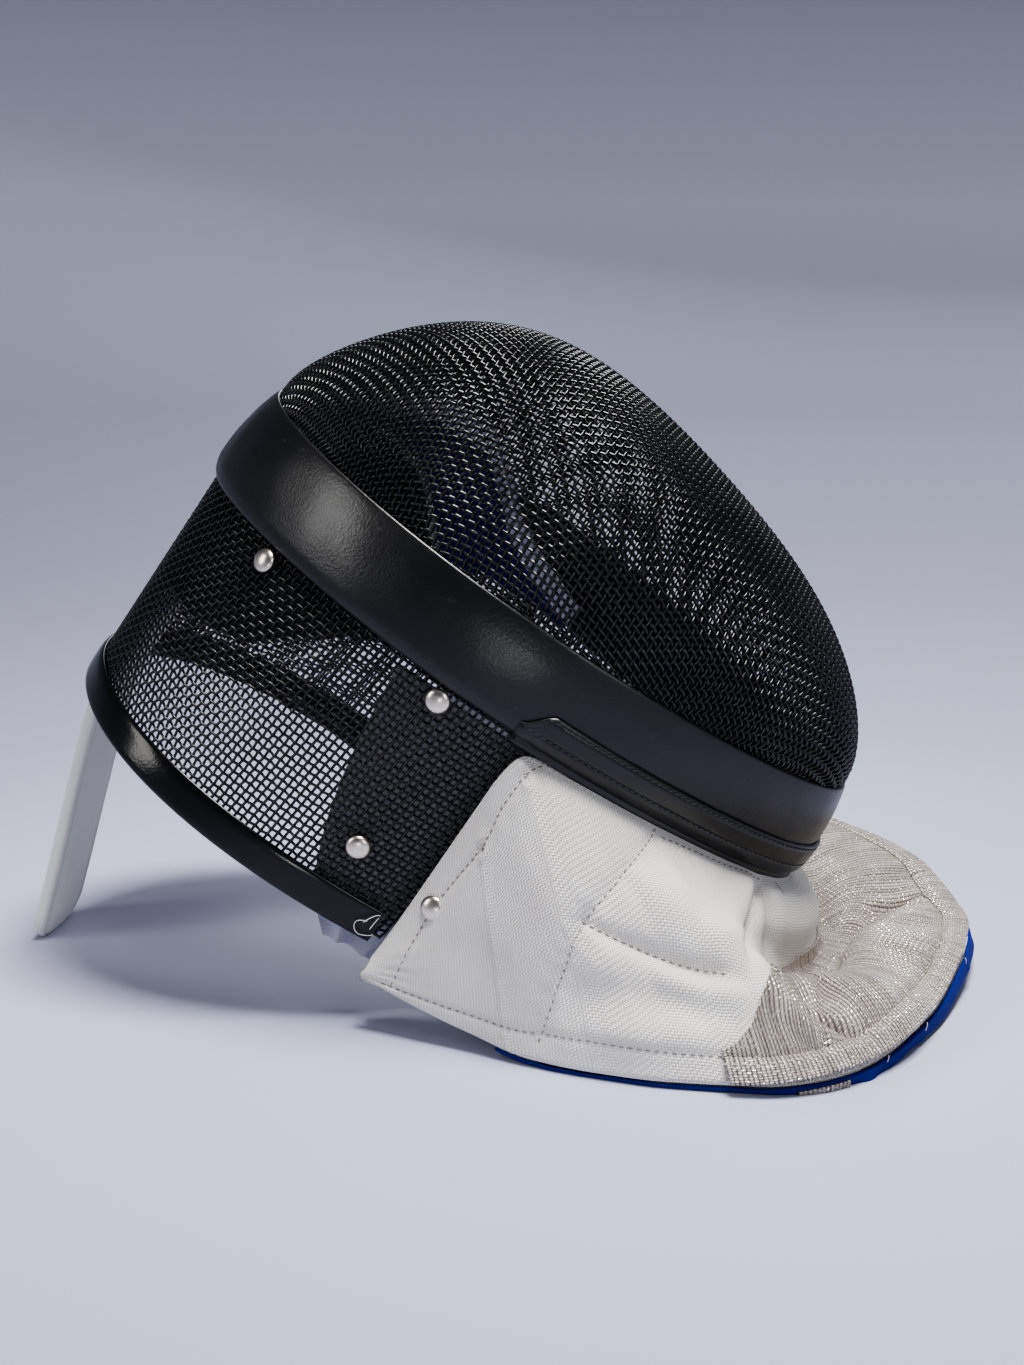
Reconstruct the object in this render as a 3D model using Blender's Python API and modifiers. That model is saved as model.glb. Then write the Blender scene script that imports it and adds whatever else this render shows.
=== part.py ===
"""A fencing mask lying on its back, on the tip of its tongue and the hem of its bib.

Two frames are used. In the worn frame +X looks out of the face, +Y is the wearer's left and
+Z the crown, with the origin in the middle of the band's front edge. lay() turns that frame
into the lying one, in which +Z is up from the floor.
"""

import math
from collections import namedtuple

import bmesh
import bpy
import numpy as np
from mathutils import Vector

# Shell
SHELL_HALF_HEIGHT = 0.148
SHELL_HALF_WIDTH = 0.093
SHELL_DEPTH = 0.152
DOME_DEPTH = 0.080
MESH_WALL = 0.002
FRONT_MESH_SKIRT = 0.030
CLEARANCE = 0.0004

# Bands on the shell
BAND_WIDTH = 0.045
BAND_THICKNESS = 0.0046
STRIP_WIDTH = 0.018
STRIP_THICKNESS = 0.0016
TRIM_WIDTH = 0.0145
TRIM_INNER_LEG = 0.008
TRIM_THICKNESS = 0.0018

# Tongue
TONGUE_WIDTH = 0.044
TONGUE_THICKNESS = 0.008
TONGUE_FOOT_BEHIND = 0.040
TONGUE_TUCK = 0.042
TONGUE_SINK = 0.0015
TONGUE_SHOULDER = 0.8
TONGUE_BEND = 0.12
TONGUE_CORNER = 0.3
TONGUE_TIP_THINNER = 0.45
TONGUE_FLAT_SIDES = 0.35
TONGUE_FLAT_FACES = 0.6

# Padding
LINING_THICKNESS = 0.005
LINING_GAP = 0.0005
LINING_BEHIND_CROWN = 0.092
FLAP_THICKNESS = 0.003
FLAP_BEHIND_BAND = 0.006
BIB_THICKNESS = 0.0045
BIB_LENGTH = 0.079
BIB_BEHIND_BAND = 0.00136
BIB_HALF_WIDTH = 0.128
BIB_PUFF = np.array([0.3, 0.8, 0.5])
BIB_LONGER = 4.0
FOLD_END_DROP = 0.6
HEM_WIDTH = 0.008
HEM_THICKNESS = 0.0022
CLOTH_THICKNESS = 0.0010
BLUE_THICKNESS = 0.0016
BLUE_TUCK = 0.0020
BLUE_DEPTH = 0.0072
BLUE_SHOWS = 0.0025
HEM_CLEARANCE = 0.0007
BLUE_FIRST = 0.20
TAB_LENGTH = 0.023
TAB_DEPTH = 0.0045
TAB_THICKNESS = 0.0010
TAB_ALONG = 0.60

# Rivets
RIVET_DIAMETER = 0.0106
RIVET_HEIGHT = 0.0030
RIVET_BEHIND_BAND = 0.0011

# Pose: the face looks up by this much, and the shell's middle is this high over the floor
LYING_TILT = math.radians(56.2)
SHELL_REST_HEIGHT = 0.1723

# Fineness of the faceted solids
STEPS_AROUND = 48
TONGUE_STEPS = 14
TONGUE_SIDES = 12
LINING_STEPS = 6
RIVET_STEPS = 12
DOME_STEPS = 10
REAR_MESH_STEPS = 3
SHARP_ANGLE = math.radians(40)

# Ends of the strip, the trim and the rear mesh
CROWN_TO_JAW = math.radians(97.5)
CROWN_TO_MESH_END = math.radians(105)

# Outlines of the shell seen from the front, at three places from the ring to the rear rim:
# half height and half width as shares of the shell's, how much shorter it is at the chin, how
# much wider it is towards the crown, how much it narrows at both ends, and how far its sides
# stand forward as a share of the shell's depth
Station = namedtuple("Station", "back height chin width crown taper bow")
STATIONS = (
    Station(back=0.0, height=1.000, chin=0.000, width=1.000, crown=0.063, taper=0.175, bow=0.0263),
    Station(back=0.3, height=1.034, chin=0.022, width=1.000, crown=0.086, taper=0.237, bow=0.0461),
    Station(back=1.0, height=1.041, chin=0.022, width=0.946, crown=0.387, taper=0.097, bow=0.000),
)
STATION_BACKS = [row.back * SHELL_DEPTH for row in STATIONS]

# The dome's depth on the middle plane, as a polynomial of the height (1 at the crown)
DOME_SHAPE = (1.0, 0.307, 0.171, -0.296, -0.366)
DOME_SQUARENESS = 2.2

# Soft cross section of the band: share of its width, share of its thickness
BAND_SECTION = ((0.0, 0.16), (0.10, 0.44), (0.30, 0.80), (0.60, 1.0), (0.82, 0.92), (0.94, 0.6), (1.0, 0.2))

# Outer side of the rear trim: share of its width before the rim, share of its thickness
TRIM_SECTION = ((1.0, 0.0), (1.0, 0.55), (0.7, 1.0), (0.2, 1.0), (0.0, 0.4))

# Edges of the brow lining on one side: share of the way from crown to jaw, and how far its
# rear and front edges lie behind the ring, as shares of LINING_BEHIND_CROWN
LiningRow = namedtuple("LiningRow", "around rear front")
LINING_ROWS = (
    LiningRow(around=0.00, rear=1.00, front=-0.10),
    LiningRow(around=0.35, rear=0.99, front=-0.16),
    LiningRow(around=0.52, rear=0.91, front=-0.27),
    LiningRow(around=0.62, rear=0.74, front=-0.25),
    LiningRow(around=0.70, rear=0.58, front=-0.09),
    LiningRow(around=0.78, rear=0.50, front=0.12),
    LiningRow(around=0.86, rear=0.49, front=0.24),
    LiningRow(around=0.96, rear=0.49, front=0.34),
)

# Side lining: share of the way from the band to the rim, and its edges in degrees from the crown
FlapRow = namedtuple("FlapRow", "back upper lower")
FLAP_ROWS = (
    FlapRow(back=0.00, upper=77.0, lower=104.0),
    FlapRow(back=0.30, upper=78.5, lower=104.0),
    FlapRow(back=0.60, upper=81.0, lower=104.0),
    FlapRow(back=0.88, upper=85.0, lower=103.5),
    FlapRow(back=1.00, upper=88.0, lower=102.0),
    FlapRow(back=1.11, upper=92.0, lower=100.5),
)

# The bib, from the near rear corner of its wing (along 0) to the middle of the throat (along 1).
# The top edge follows the shell (back, as a share of the way from the band to the rim, then degrees
# from the crown, then out, over the shell by a share of BIB_THICKNESS). The hem lies at these places:
# forward of the chin as a share of BIB_LENGTH, sideways as a share of BIB_HALF_WIDTH, and over
# the floor by a share of BIB_THICKNESS. The far side lies farther forward and higher by two more.
BibRow = namedtuple("BibRow", "along back around out forward side lift far_forward far_lift")
BIB_ROWS = (
    BibRow(0.00, 1.043, 99.0, 1.11, -2.153, 0.750, 5.30, 0.00, 0.0),
    BibRow(0.08, 0.770, 99.0, 1.11, -1.875, 0.797, 3.50, 0.00, 0.0),
    BibRow(0.16, 0.482, 99.0, 1.11, -1.558, 0.852, 1.90, 0.00, 0.0),
    BibRow(0.25, 0.209, 99.0, 1.11, -1.178, 0.938, 0.70, 0.00, 0.0),
    BibRow(0.33, 0.043, 100.0, 1.11, -0.862, 0.984, 0.55, 0.00, 0.1),
    BibRow(0.42, 0.000, 113.0, 0.80, -0.482, 1.016, 0.70, 0.00, 2.8),
    BibRow(0.52, 0.000, 128.0, 0.75, -0.039, 1.008, 0.95, 0.00, 6.4),
    BibRow(0.60, 0.000, 139.0, 0.75, 0.277, 0.938, 1.30, 0.03, 5.6),
    BibRow(0.72, 0.000, 152.0, 0.75, 0.606, 0.703, 1.60, 0.15, 3.6),
    BibRow(0.85, 0.000, 166.0, 0.75, 0.810, 0.390, 2.20, 0.15, 1.4),
    BibRow(1.00, 0.000, 180.0, 0.75, 0.965, 0.000, 3.70, 0.00, 0.0),
)

# Path from the chin to the hem on the middle plane: share of the way down, forward as a share
# of the hem's distance, height as a share of the chin's height over the floor
ThroatRow = namedtuple("ThroatRow", "down forward height")
THROAT_ROWS = (
    ThroatRow(down=0.00, forward=0.000, height=1.00),
    ThroatRow(down=0.12, forward=0.110, height=0.84),
    ThroatRow(down=0.23, forward=0.165, height=0.62),
    ThroatRow(down=0.33, forward=0.145, height=0.41),
    ThroatRow(down=0.42, forward=0.160, height=0.27),
    ThroatRow(down=0.52, forward=0.245, height=0.26),
    ThroatRow(down=0.66, forward=0.460, height=0.39),
    ThroatRow(down=0.85, forward=0.790, height=0.45),
    ThroatRow(down=1.00, forward=1.000, height=0.41),
)

# How much of the throat's path the bib has, at these places along it
THROAT_SHARE = ((0.0, 0.50, 0.66, 0.82, 1.0), (0.0, 0.0, 0.55, 1.0, 1.0))

# Folds and sewn lines: from one place (along, down) to another, half width and height (negative
# is a groove). Widths and heights are shares of BIB_THICKNESS.
Fold = namedtuple("Fold", "name along0 down0 along1 down1 width height")
FOLDS = (
    Fold("near lip", 0.50, 0.42, 0.80, 0.86, 3.0, 2.2),
    Fold("near valley", 0.62, 0.34, 0.93, 0.50, 2.6, -0.9),
    Fold("far groove", 1.02, 0.50, 1.26, 0.86, 1.6, -0.8),
    Fold("jaw quilt line", 0.50, 0.04, 0.26, 0.93, 1.3, -0.4),
    Fold("wing quilt line", 0.36, 0.52, 0.52, 0.60, 1.5, -0.4),
    Fold("throat crease", 0.74, 0.04, 0.70, 0.36, 1.5, -0.8),
)

# The silver front begins this far down, from its corner on the hem to the throat. Nearer the
# rear it has no seam, and the same rows only space the sheet's faces.
SeamRow = namedtuple("SeamRow", "along down")
FRONT_SEAM = (
    SeamRow(along=0.00, down=0.55),
    SeamRow(along=0.30, down=0.62),
    SeamRow(along=0.49, down=0.87),
    SeamRow(along=0.53, down=0.79),
    SeamRow(along=0.57, down=0.61),
    SeamRow(along=0.62, down=0.47),
    SeamRow(along=0.70, down=0.40),
    SeamRow(along=0.85, down=0.35),
    SeamRow(along=1.00, down=0.33),
)
FRONT_CORNER = 0.49

# Faces along the bib, and down it above the seam, below it and across the hem
BIB_ALONG_STEPS = 44
BIB_UPPER_STEPS = 5
BIB_LOWER_STEPS = 5
HEM_STEPS = 1

# Rivets of one side: degrees from the crown, and the share of the way from the band to the rim.
# The fourth one is on the wing of the bib. The profile of a cap runs outwards from its middle, in
# shares of its radius and height.
RIVET_PLACES = (("temple", 47.0, 0.0), ("cheek", 85.7, 0.0), ("ear", 88.2, 0.671))
BibPlace = namedtuple("BibPlace", "along down")
WING_RIVET = BibPlace(along=0.124, down=0.250)
RIVET_PROFILE = ((0.60, 0.90), (0.80, 0.70), (0.94, 0.40), (1.00, 0.13), (0.98, 0.0))


def column(rows, name):
    return [getattr(row, name) for row in rows]


def smooth(x, xs, ys):
    """Monotone cubic through (xs, ys), so a table's few rows give a soft curve."""
    xs = np.asarray(xs, float)
    ys = np.asarray(ys, float)
    slopes = np.diff(ys) / np.diff(xs)
    tangents = np.zeros(len(xs))
    both = slopes[:-1] * slopes[1:] > 0
    tangents[1:-1][both] = 2 * slopes[:-1][both] * slopes[1:][both] / (slopes[:-1] + slopes[1:])[both]
    tangents[0], tangents[-1] = slopes[0], slopes[-1]
    x = np.clip(x, xs[0], xs[-1])
    i = np.clip(np.searchsorted(xs, x, side="right") - 1, 0, len(xs) - 2)
    width = xs[i + 1] - xs[i]
    t = (x - xs[i]) / width
    return (
        ys[i] * (1 + 2 * t) * (1 - t) ** 2
        + ys[i + 1] * t * t * (3 - 2 * t)
        + width * tangents[i] * t * (1 - t) ** 2
        - width * tangents[i + 1] * t * t * (1 - t)
    )


def lay(point):
    """From the worn frame to the lying one, with the floor at z = 0."""
    x, y, z = point
    sine, cosine = math.sin(LYING_TILT), math.cos(LYING_TILT)
    return np.array([x * cosine - z * sine, y, x * sine + z * cosine + SHELL_REST_HEIGHT])


def on_floor(point):
    """The point, or the floor under it where it would sink: what touches the floor lies flat."""
    return np.array([point[0], point[1], max(point[2], 0.0)])


def station(back, name):
    return np.interp(back, STATION_BACKS, column(STATIONS, name))


def outline(angle, back):
    """Point of the shell behind the ring, angle from the crown towards the wearer's left."""
    c, s = math.cos(angle), math.sin(angle)
    width = SHELL_HALF_WIDTH * station(back, "width")
    spread = 1 + station(back, "crown") * c - station(back, "taper") * c * c
    return np.array([
        SHELL_DEPTH * station(back, "bow") * s * s - back,
        width * s * spread,
        SHELL_HALF_HEIGHT * (station(back, "height") - station(back, "chin") * (1 - c) / 2) * c,
    ])


def dome_height(y, z):
    """How far the dome stands in front of the ring's own surface at this place."""
    c = np.clip(z / SHELL_HALF_HEIGHT, -1, 1)
    s = math.sqrt(max(0.0, 1 - c * c))
    row = STATIONS[0]
    width = SHELL_HALF_WIDTH * row.width * s * (1 + row.crown * c - row.taper * c * c)
    middle = DOME_DEPTH * s * sum(share * c**power for power, share in enumerate(DOME_SHAPE))
    across = min(1.0, abs(y) / max(width, 1e-9))
    return SHELL_DEPTH * row.bow * s * s + middle * (1 - across**DOME_SQUARENESS) ** (1 / DOME_SQUARENESS)


def dome(angle, inward):
    """Point of the dome: inward is 0 at the ring and 1 at the middle of the face."""
    ring = outline(angle, 0.0)
    y = ring[1] * (1 - inward)
    z = ring[2] * (1 - inward)
    if inward == 0:
        return ring
    return np.array([dome_height(y, z), y, z])


def surface(angle, back):
    """The shell's outer surface behind the ring, or in front of it where back is negative."""
    if back >= 0:
        return outline(angle, back)
    ring = outline(angle, 0.0)
    low, high = 0.0, 1.0
    for _ in range(30):
        middle = (low + high) / 2
        if dome(angle, middle)[0] - ring[0] < -back:
            low = middle
        else:
            high = middle
    return dome(angle, (low + high) / 2)


def on_shell(angle, back, out):
    """Point at this distance outside the shell's outer surface, in the worn frame."""
    small_angle, small_back = 1e-3, 1e-4
    around = surface(angle + small_angle, back) - surface(angle - small_angle, back)
    along = surface(angle, back + small_back) - surface(angle, back - small_back)
    normal = np.cross(around, along)
    normal /= np.linalg.norm(normal)
    point = surface(angle, back)
    if normal @ (point * (0, 1, 1)) < 0:
        normal = -normal
    return point + normal * out


def around_steps(first, last):
    """The shared angles between two limits, with the limits themselves at both ends."""
    step = 2 * math.pi / STEPS_AROUND
    inner = [k * step for k in range(math.ceil(first / step), math.floor(last / step) + 1)]
    inner = [a for a in inner if first + step / 4 < a < last - step / 4]
    return [first, *inner, last]


def material(name, colour, roughness, metallic=0.0):
    made = bpy.data.materials.new(name)
    made.use_nodes = True
    shader = made.node_tree.nodes["Principled BSDF"]
    shader.inputs["Base Color"].default_value = (*colour, 1.0)
    shader.inputs["Roughness"].default_value = roughness
    shader.inputs["Metallic"].default_value = metallic
    return made


def add_object(name, mesh, finish):
    mesh.shade_smooth()
    mesh.set_sharp_from_angle(angle=SHARP_ANGLE)
    mesh.materials.append(finish)
    obj = bpy.data.objects.new(name, mesh)
    obj.parent = ROOT
    PIECES.objects.link(obj)
    return obj


def loft(name, rows, finish, wrap=False, caps=False, pole=None):
    """Mesh from rows of points. wrap joins each row's ends, caps closes the first and last rows,
    and pole is one point that closes the last row."""
    bm = bmesh.new()
    grid = [[bm.verts.new(Vector(point)) for point in row] for row in rows]
    count = len(grid[0])
    for one, two in zip(grid, grid[1:]):
        for k in range(count if wrap else count - 1):
            bm.faces.new((one[k], one[(k + 1) % count], two[(k + 1) % count], two[k]))
    if caps:
        bm.faces.new(grid[0])
        bm.faces.new(grid[-1])
    if pole is not None:
        tip = bm.verts.new(Vector(pole))
        for k in range(count):
            bm.faces.new((grid[-1][k], grid[-1][(k + 1) % count], tip))
    bmesh.ops.recalc_face_normals(bm, faces=bm.faces)
    mesh = bpy.data.meshes.new(name)
    bm.to_mesh(mesh)
    bm.free()
    return add_object(name, mesh, finish)


def face_out(obj, inside):
    """Turns an open sheet's faces away from a point inside, so that its wall grows inwards."""
    mesh = obj.data
    facing = sum((face.center - inside).dot(face.normal) * face.area for face in mesh.polygons)
    if facing < 0:
        mesh.flip_normals()


def wall(obj, thickness):
    solidify = obj.modifiers.new("wall", "SOLIDIFY")
    solidify.thickness = thickness
    solidify.offset = -1.0


def shell_inside():
    return Vector(lay((-SHELL_DEPTH / 3, 0, 0)))


def make_front_mesh(finish):
    angles = around_steps(0, 2 * math.pi)[:-1]
    rows = [[lay(surface(a, back)) for a in angles] for back in (FRONT_MESH_SKIRT, FRONT_MESH_SKIRT / 2)]
    turns = np.linspace(0, math.pi / 2, DOME_STEPS, endpoint=False)
    rows += [[lay(dome(a, 1 - math.cos(turn))) for a in angles] for turn in turns]
    obj = loft("front_mesh", rows, finish, wrap=True, pole=lay(dome(0.0, 1.0)))
    face_out(obj, shell_inside())
    wall(obj, MESH_WALL)


def make_rear_mesh(finish):
    angles = around_steps(-CROWN_TO_MESH_END, CROWN_TO_MESH_END)
    first = FRONT_MESH_SKIRT + 2 * CLEARANCE
    backs = [first, *np.linspace(BAND_WIDTH, SHELL_DEPTH - TRIM_THICKNESS, REAR_MESH_STEPS + 1)]
    rows = [[lay(surface(a, back)) for a in angles] for back in backs]
    obj = loft("rear_mesh", rows, finish)
    face_out(obj, shell_inside())
    wall(obj, MESH_WALL)


def band_out(share):
    return BAND_THICKNESS * np.interp(share, *zip(*BAND_SECTION))


def sweep(name, angles, section, finish, wrap=False):
    """Solid strip on the shell: section gives its (back, out) corners, in order, at an angle."""
    rows = [[lay(on_shell(a, back, out)) for back, out in section(a)] for a in angles]
    if wrap:
        rows.append(rows[0])
    return loft_closed(name, rows, finish, ends=not wrap)


def loft_closed(name, rows, finish, ends):
    """Mesh through closed sections. A ring's last section repeats its first and is merged."""
    obj = loft(name, rows, finish, wrap=True, caps=ends)
    bm = bmesh.new()
    bm.from_mesh(obj.data)
    bmesh.ops.remove_doubles(bm, verts=bm.verts, dist=1e-6)
    bmesh.ops.recalc_face_normals(bm, faces=bm.faces)
    bm.to_mesh(obj.data)
    bm.free()
    return obj


def make_main_band(finish):
    outer = [(share * BAND_WIDTH, CLEARANCE + BAND_THICKNESS * height) for share, height in BAND_SECTION]
    inner = [(BAND_WIDTH, CLEARANCE), (FRONT_MESH_SKIRT, CLEARANCE), (0.0, CLEARANCE)]
    sweep("main_band", around_steps(0, 2 * math.pi)[:-1], lambda angle: outer + inner, finish, wrap=True)


def make_bib_strip(finish):
    ends = (BAND_WIDTH - STRIP_WIDTH, BAND_WIDTH + 2 * CLEARANCE)
    backs = (ends[0], *(BAND_WIDTH * share for share, height in BAND_SECTION[-3:]), ends[1])
    inner = [(back, 2 * CLEARANCE + band_out(min(1, back / BAND_WIDTH))) for back in backs]
    outer = [(back, out + STRIP_THICKNESS) for back, out in reversed(inner)]
    angles = around_steps(CROWN_TO_JAW, 2 * math.pi - CROWN_TO_JAW)
    sweep("bib_strip", angles, lambda angle: inner + outer, finish)


def make_rear_trim(finish):
    rim = SHELL_DEPTH
    under = -MESH_WALL - CLEARANCE
    section = [(rim - TRIM_WIDTH * share, CLEARANCE + TRIM_THICKNESS * out) for share, out in TRIM_SECTION]
    section += [
        (rim, under - TRIM_THICKNESS / 2), (rim - TRIM_THICKNESS, under - TRIM_THICKNESS),
        (rim - TRIM_INNER_LEG, under - TRIM_THICKNESS), (rim - TRIM_INNER_LEG, under),
        (rim - TRIM_THICKNESS + CLEARANCE, under), (rim - TRIM_THICKNESS + CLEARANCE, CLEARANCE),
    ]
    sweep("rear_trim", around_steps(-CROWN_TO_JAW, CROWN_TO_JAW), lambda angle: section, finish)


def bezier(corners, t):
    a, b, c, d = corners
    return (1 - t) ** 3 * a + 3 * t * (1 - t) ** 2 * b + 3 * t * t * (1 - t) * c + t**3 * d


def tongue_line():
    """Corners of the tongue's curve: under the crown's mesh, at the rim, and down to the floor."""
    shoulder = math.asin(TONGUE_WIDTH / 2 * TONGUE_SHOULDER / SHELL_HALF_WIDTH)
    roof = outline(shoulder, SHELL_DEPTH)[2] - MESH_WALL - TRIM_THICKNESS - 2 * CLEARANCE
    level = roof - TONGUE_THICKNESS / 2 * TONGUE_SHOULDER
    start = lay((-SHELL_DEPTH + TONGUE_TUCK, 0, level))
    rim = lay((-SHELL_DEPTH - TRIM_THICKNESS, 0, level))
    tip = np.array([rim[0] - TONGUE_FOOT_BEHIND, 0, -TONGUE_SINK])
    bend = rim + (rim - start) / np.linalg.norm(rim - start) * np.linalg.norm(tip - rim) * TONGUE_BEND
    return start, rim, bend, (tip + rim) / 2, tip


def tongue_section(centre, across, up, left):
    """Rounded section, narrower and thinner the less length is left before the tip."""
    corner = TONGUE_WIDTH * TONGUE_CORNER
    short = 1 - min(1.0, left / corner)
    half_width = TONGUE_WIDTH / 2 - corner * (1 - math.sqrt(1 - short**2))
    half_thickness = TONGUE_THICKNESS / 2 * (1 - TONGUE_TIP_THINNER * short)
    points = []
    for turn in np.linspace(0, 2 * math.pi, TONGUE_SIDES, endpoint=False):
        c, s = math.cos(turn), math.sin(turn)
        wide = math.copysign(abs(c) ** TONGUE_FLAT_SIDES, c)
        high = math.copysign(abs(s) ** TONGUE_FLAT_FACES, s)
        points.append(on_floor(centre + across * half_width * wide + up * half_thickness * high))
    return points


def make_tongue(finish):
    start, rim, bend, before, tip = tongue_line()
    line = [start, (start + rim) / 2]
    line += [bezier((rim, bend, before, tip), share) for share in np.linspace(0, 1, TONGUE_STEPS)]
    lengths = [np.linalg.norm(two - one) for one, two in zip(line, line[1:])]
    across = np.array([0, 1, 0])
    rows = []
    for k, centre in enumerate(line):
        ahead = line[min(k + 1, len(line) - 1)] - line[max(k - 1, 0)]
        up = np.cross(across, ahead / np.linalg.norm(ahead))
        rows.append(tongue_section(centre, across, up, sum(lengths[k:])))
    loft_closed("tongue", rows, finish, ends=True)


def make_brow_lining(finish):
    arounds = column(LINING_ROWS, "around")
    sides = around_steps(0, CROWN_TO_JAW * arounds[-1])
    rows = []
    for angle in [-a for a in reversed(sides[1:])] + sides:
        share = abs(angle) / CROWN_TO_JAW
        rear = LINING_BEHIND_CROWN * smooth(share, arounds, column(LINING_ROWS, "rear"))
        front = LINING_BEHIND_CROWN * smooth(share, arounds, column(LINING_ROWS, "front"))
        backs = np.linspace(rear, front, LINING_STEPS + 1)
        rows.append([lay(on_shell(angle, float(back), -MESH_WALL - LINING_GAP)) for back in backs])
    obj = loft("brow_lining", rows, finish)
    face_out(obj, shell_inside())
    wall(obj, LINING_THICKNESS)


def make_side_linings(finish):
    """Flaps inside the shell, behind the brow lining, whose rear corners poke out of the rim."""
    first = BAND_WIDTH + FLAP_BEHIND_BAND
    inside = -MESH_WALL - TRIM_THICKNESS - 3 * CLEARANCE
    for name, side in (("side_lining_left", 1), ("side_lining_right", -1)):
        rows = []
        for row in FLAP_ROWS:
            back = first + (SHELL_DEPTH - first) * min(row.back, 1.0)
            beyond = np.array([(SHELL_DEPTH - first) * max(row.back - 1.0, 0.0), 0, 0])
            angles = np.radians(np.linspace(row.upper, row.lower, LINING_STEPS))
            rows.append([lay(on_shell(side * angle, back, inside) - beyond) for angle in angles])
        obj = loft(name, rows, finish)
        face_out(obj, shell_inside())
        wall(obj, FLAP_THICKNESS)


def bib_value(name, along):
    return float(smooth(1 - abs(1 - along), column(BIB_ROWS, "along"), column(BIB_ROWS, name)))


def bib_back(share):
    first = BAND_WIDTH + BIB_BEHIND_BAND
    return first + (SHELL_DEPTH - first) * share


def chin_point():
    row = BIB_ROWS[-1]
    return lay(on_shell(math.pi, bib_back(row.back), row.out * BIB_THICKNESS))


def bib_top(along):
    side = -1 if along < 1 else 1
    angle = math.radians(bib_value("around", along))
    wanted = bib_back(bib_value("back", along))
    back = min(wanted, SHELL_DEPTH)
    beyond = wanted - back
    out = bib_value("out", along) * BIB_THICKNESS
    return lay(on_shell(side * angle, back, out) - (beyond, 0, 0))


def bib_hem(along):
    side = -1 if along < 1 else 1
    forward, lift = bib_value("forward", along), bib_value("lift", along)
    if side > 0:
        forward += bib_value("far_forward", along)
        lift += bib_value("far_lift", along)
    return np.array([
        chin_point()[0] + BIB_LENGTH * forward,
        side * BIB_HALF_WIDTH * bib_value("side", along),
        BIB_THICKNESS * lift,
    ])


def bib_base(along, down):
    """The bib's outer surface without its folds: straight at the wings, a roll under the chin."""
    top, hem = bib_top(along), bib_hem(along)
    side = -1 if along < 1 else 1
    puff = 4 * down * (1 - down) * BIB_THICKNESS * np.array([1, side, 1])
    straight = top + (hem - top) * down + puff * BIB_PUFF
    throat = smooth(1 - abs(1 - along), *THROAT_SHARE)
    forward = smooth(down, column(THROAT_ROWS, "down"), column(THROAT_ROWS, "forward"))
    height = smooth(down, column(THROAT_ROWS, "down"), column(THROAT_ROWS, "height"))
    rolled = top + (hem - top) * forward
    rolled[2] = top[2] * height + (hem[2] - top[2] * THROAT_ROWS[-1].height) * down**2
    return straight * (1 - throat) + rolled * throat


def fold_height(along, down):
    """Height of the folds over the base, each lower at its ends."""
    height = 0.0
    scale = np.array([BIB_LONGER, 1.0])
    for fold in FOLDS:
        start = np.array([fold.along0, fold.down0]) * scale
        run = np.array([fold.along1, fold.down1]) * scale - start
        place = np.array([along, down]) * scale - start
        share = np.clip(place @ run / (run @ run), 0, 1)
        apart = np.linalg.norm(place - share * run) * BIB_LENGTH / (fold.width * BIB_THICKNESS)
        taper = 1 - (2 * share - 1) ** 4 * FOLD_END_DROP
        height += fold.height * BIB_THICKNESS * taper * math.exp(-(apart**2))
    return height


def bib_normal(along, down):
    small = 2e-3
    across = bib_base(min(along + small, 2.0), down) - bib_base(max(along - small, 0.0), down)
    downward = bib_base(along, min(down + small, 1.0)) - bib_base(along, max(down - small, 0.0))
    normal = np.cross(downward, across)
    return normal / np.linalg.norm(normal)


def bib_surface(along, down):
    """The bib's outer surface with its folds, in the lying frame, its wall above the floor."""
    normal = bib_normal(along, down)
    point = bib_base(along, down) + normal * fold_height(along, down)
    point[2] = max(point[2], (BIB_THICKNESS + CLEARANCE) * normal[2])
    return point


def front_seam(along):
    return float(smooth(1 - abs(1 - along), column(FRONT_SEAM, "along"), column(FRONT_SEAM, "down")))


def bib_alongs():
    half = np.linspace(0.0, 1.0, BIB_ALONG_STEPS // 2 + 1)
    half[np.argmin(abs(half - FRONT_CORNER))] = FRONT_CORNER
    return [*half, *(2 - half[-2::-1])]


def bib_downs(along):
    """Shares of the way down, with one row on the silver front's seam and one on the hem's."""
    seam = front_seam(along)
    hem = max(1 - HEM_WIDTH / BIB_LENGTH, (seam + 1) / 2)
    return [
        *np.linspace(0, seam, BIB_UPPER_STEPS + 1),
        *np.linspace(seam, hem, BIB_LOWER_STEPS)[1:],
        *np.linspace(hem, 1.0, HEM_STEPS + 1)[1:],
    ]


def bib_inside():
    """A point under the bib, behind the chin."""
    return Vector((chin_point()[0] - BIB_LENGTH, 0, -BIB_LENGTH))


def bib_grid():
    """Places and normals of the bib's outer surface, in rows down the bib."""
    places = np.array([[bib_surface(along, down) for down in bib_downs(along)] for along in bib_alongs()])
    normals = np.cross(np.gradient(places, axis=1), np.gradient(places, axis=0))
    return places, normals / np.linalg.norm(normals, axis=2, keepdims=True)


def sheet_over(name, rows, thickness, finish):
    """Sheet whose outer side is these rows and whose wall grows inwards."""
    obj = loft(name, rows, finish)
    face_out(obj, bib_inside())
    wall(obj, thickness)


def make_bib(grid, finish):
    sheet_over("bib", grid[0], BIB_THICKNESS, finish)


def over_front(grid, first_down, out):
    """Rows this far outside the bib between the two corners of the silver front."""
    places, normals = grid
    rows = [FRONT_CORNER <= along <= 2 - FRONT_CORNER for along in bib_alongs()]
    return (places + normals * out)[rows, first_down:]


def make_bib_front(grid, finish):
    rows = over_front(grid, BIB_UPPER_STEPS, CLEARANCE + CLOTH_THICKNESS)
    sheet_over("bib_front", rows, CLOTH_THICKNESS, finish)


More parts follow.
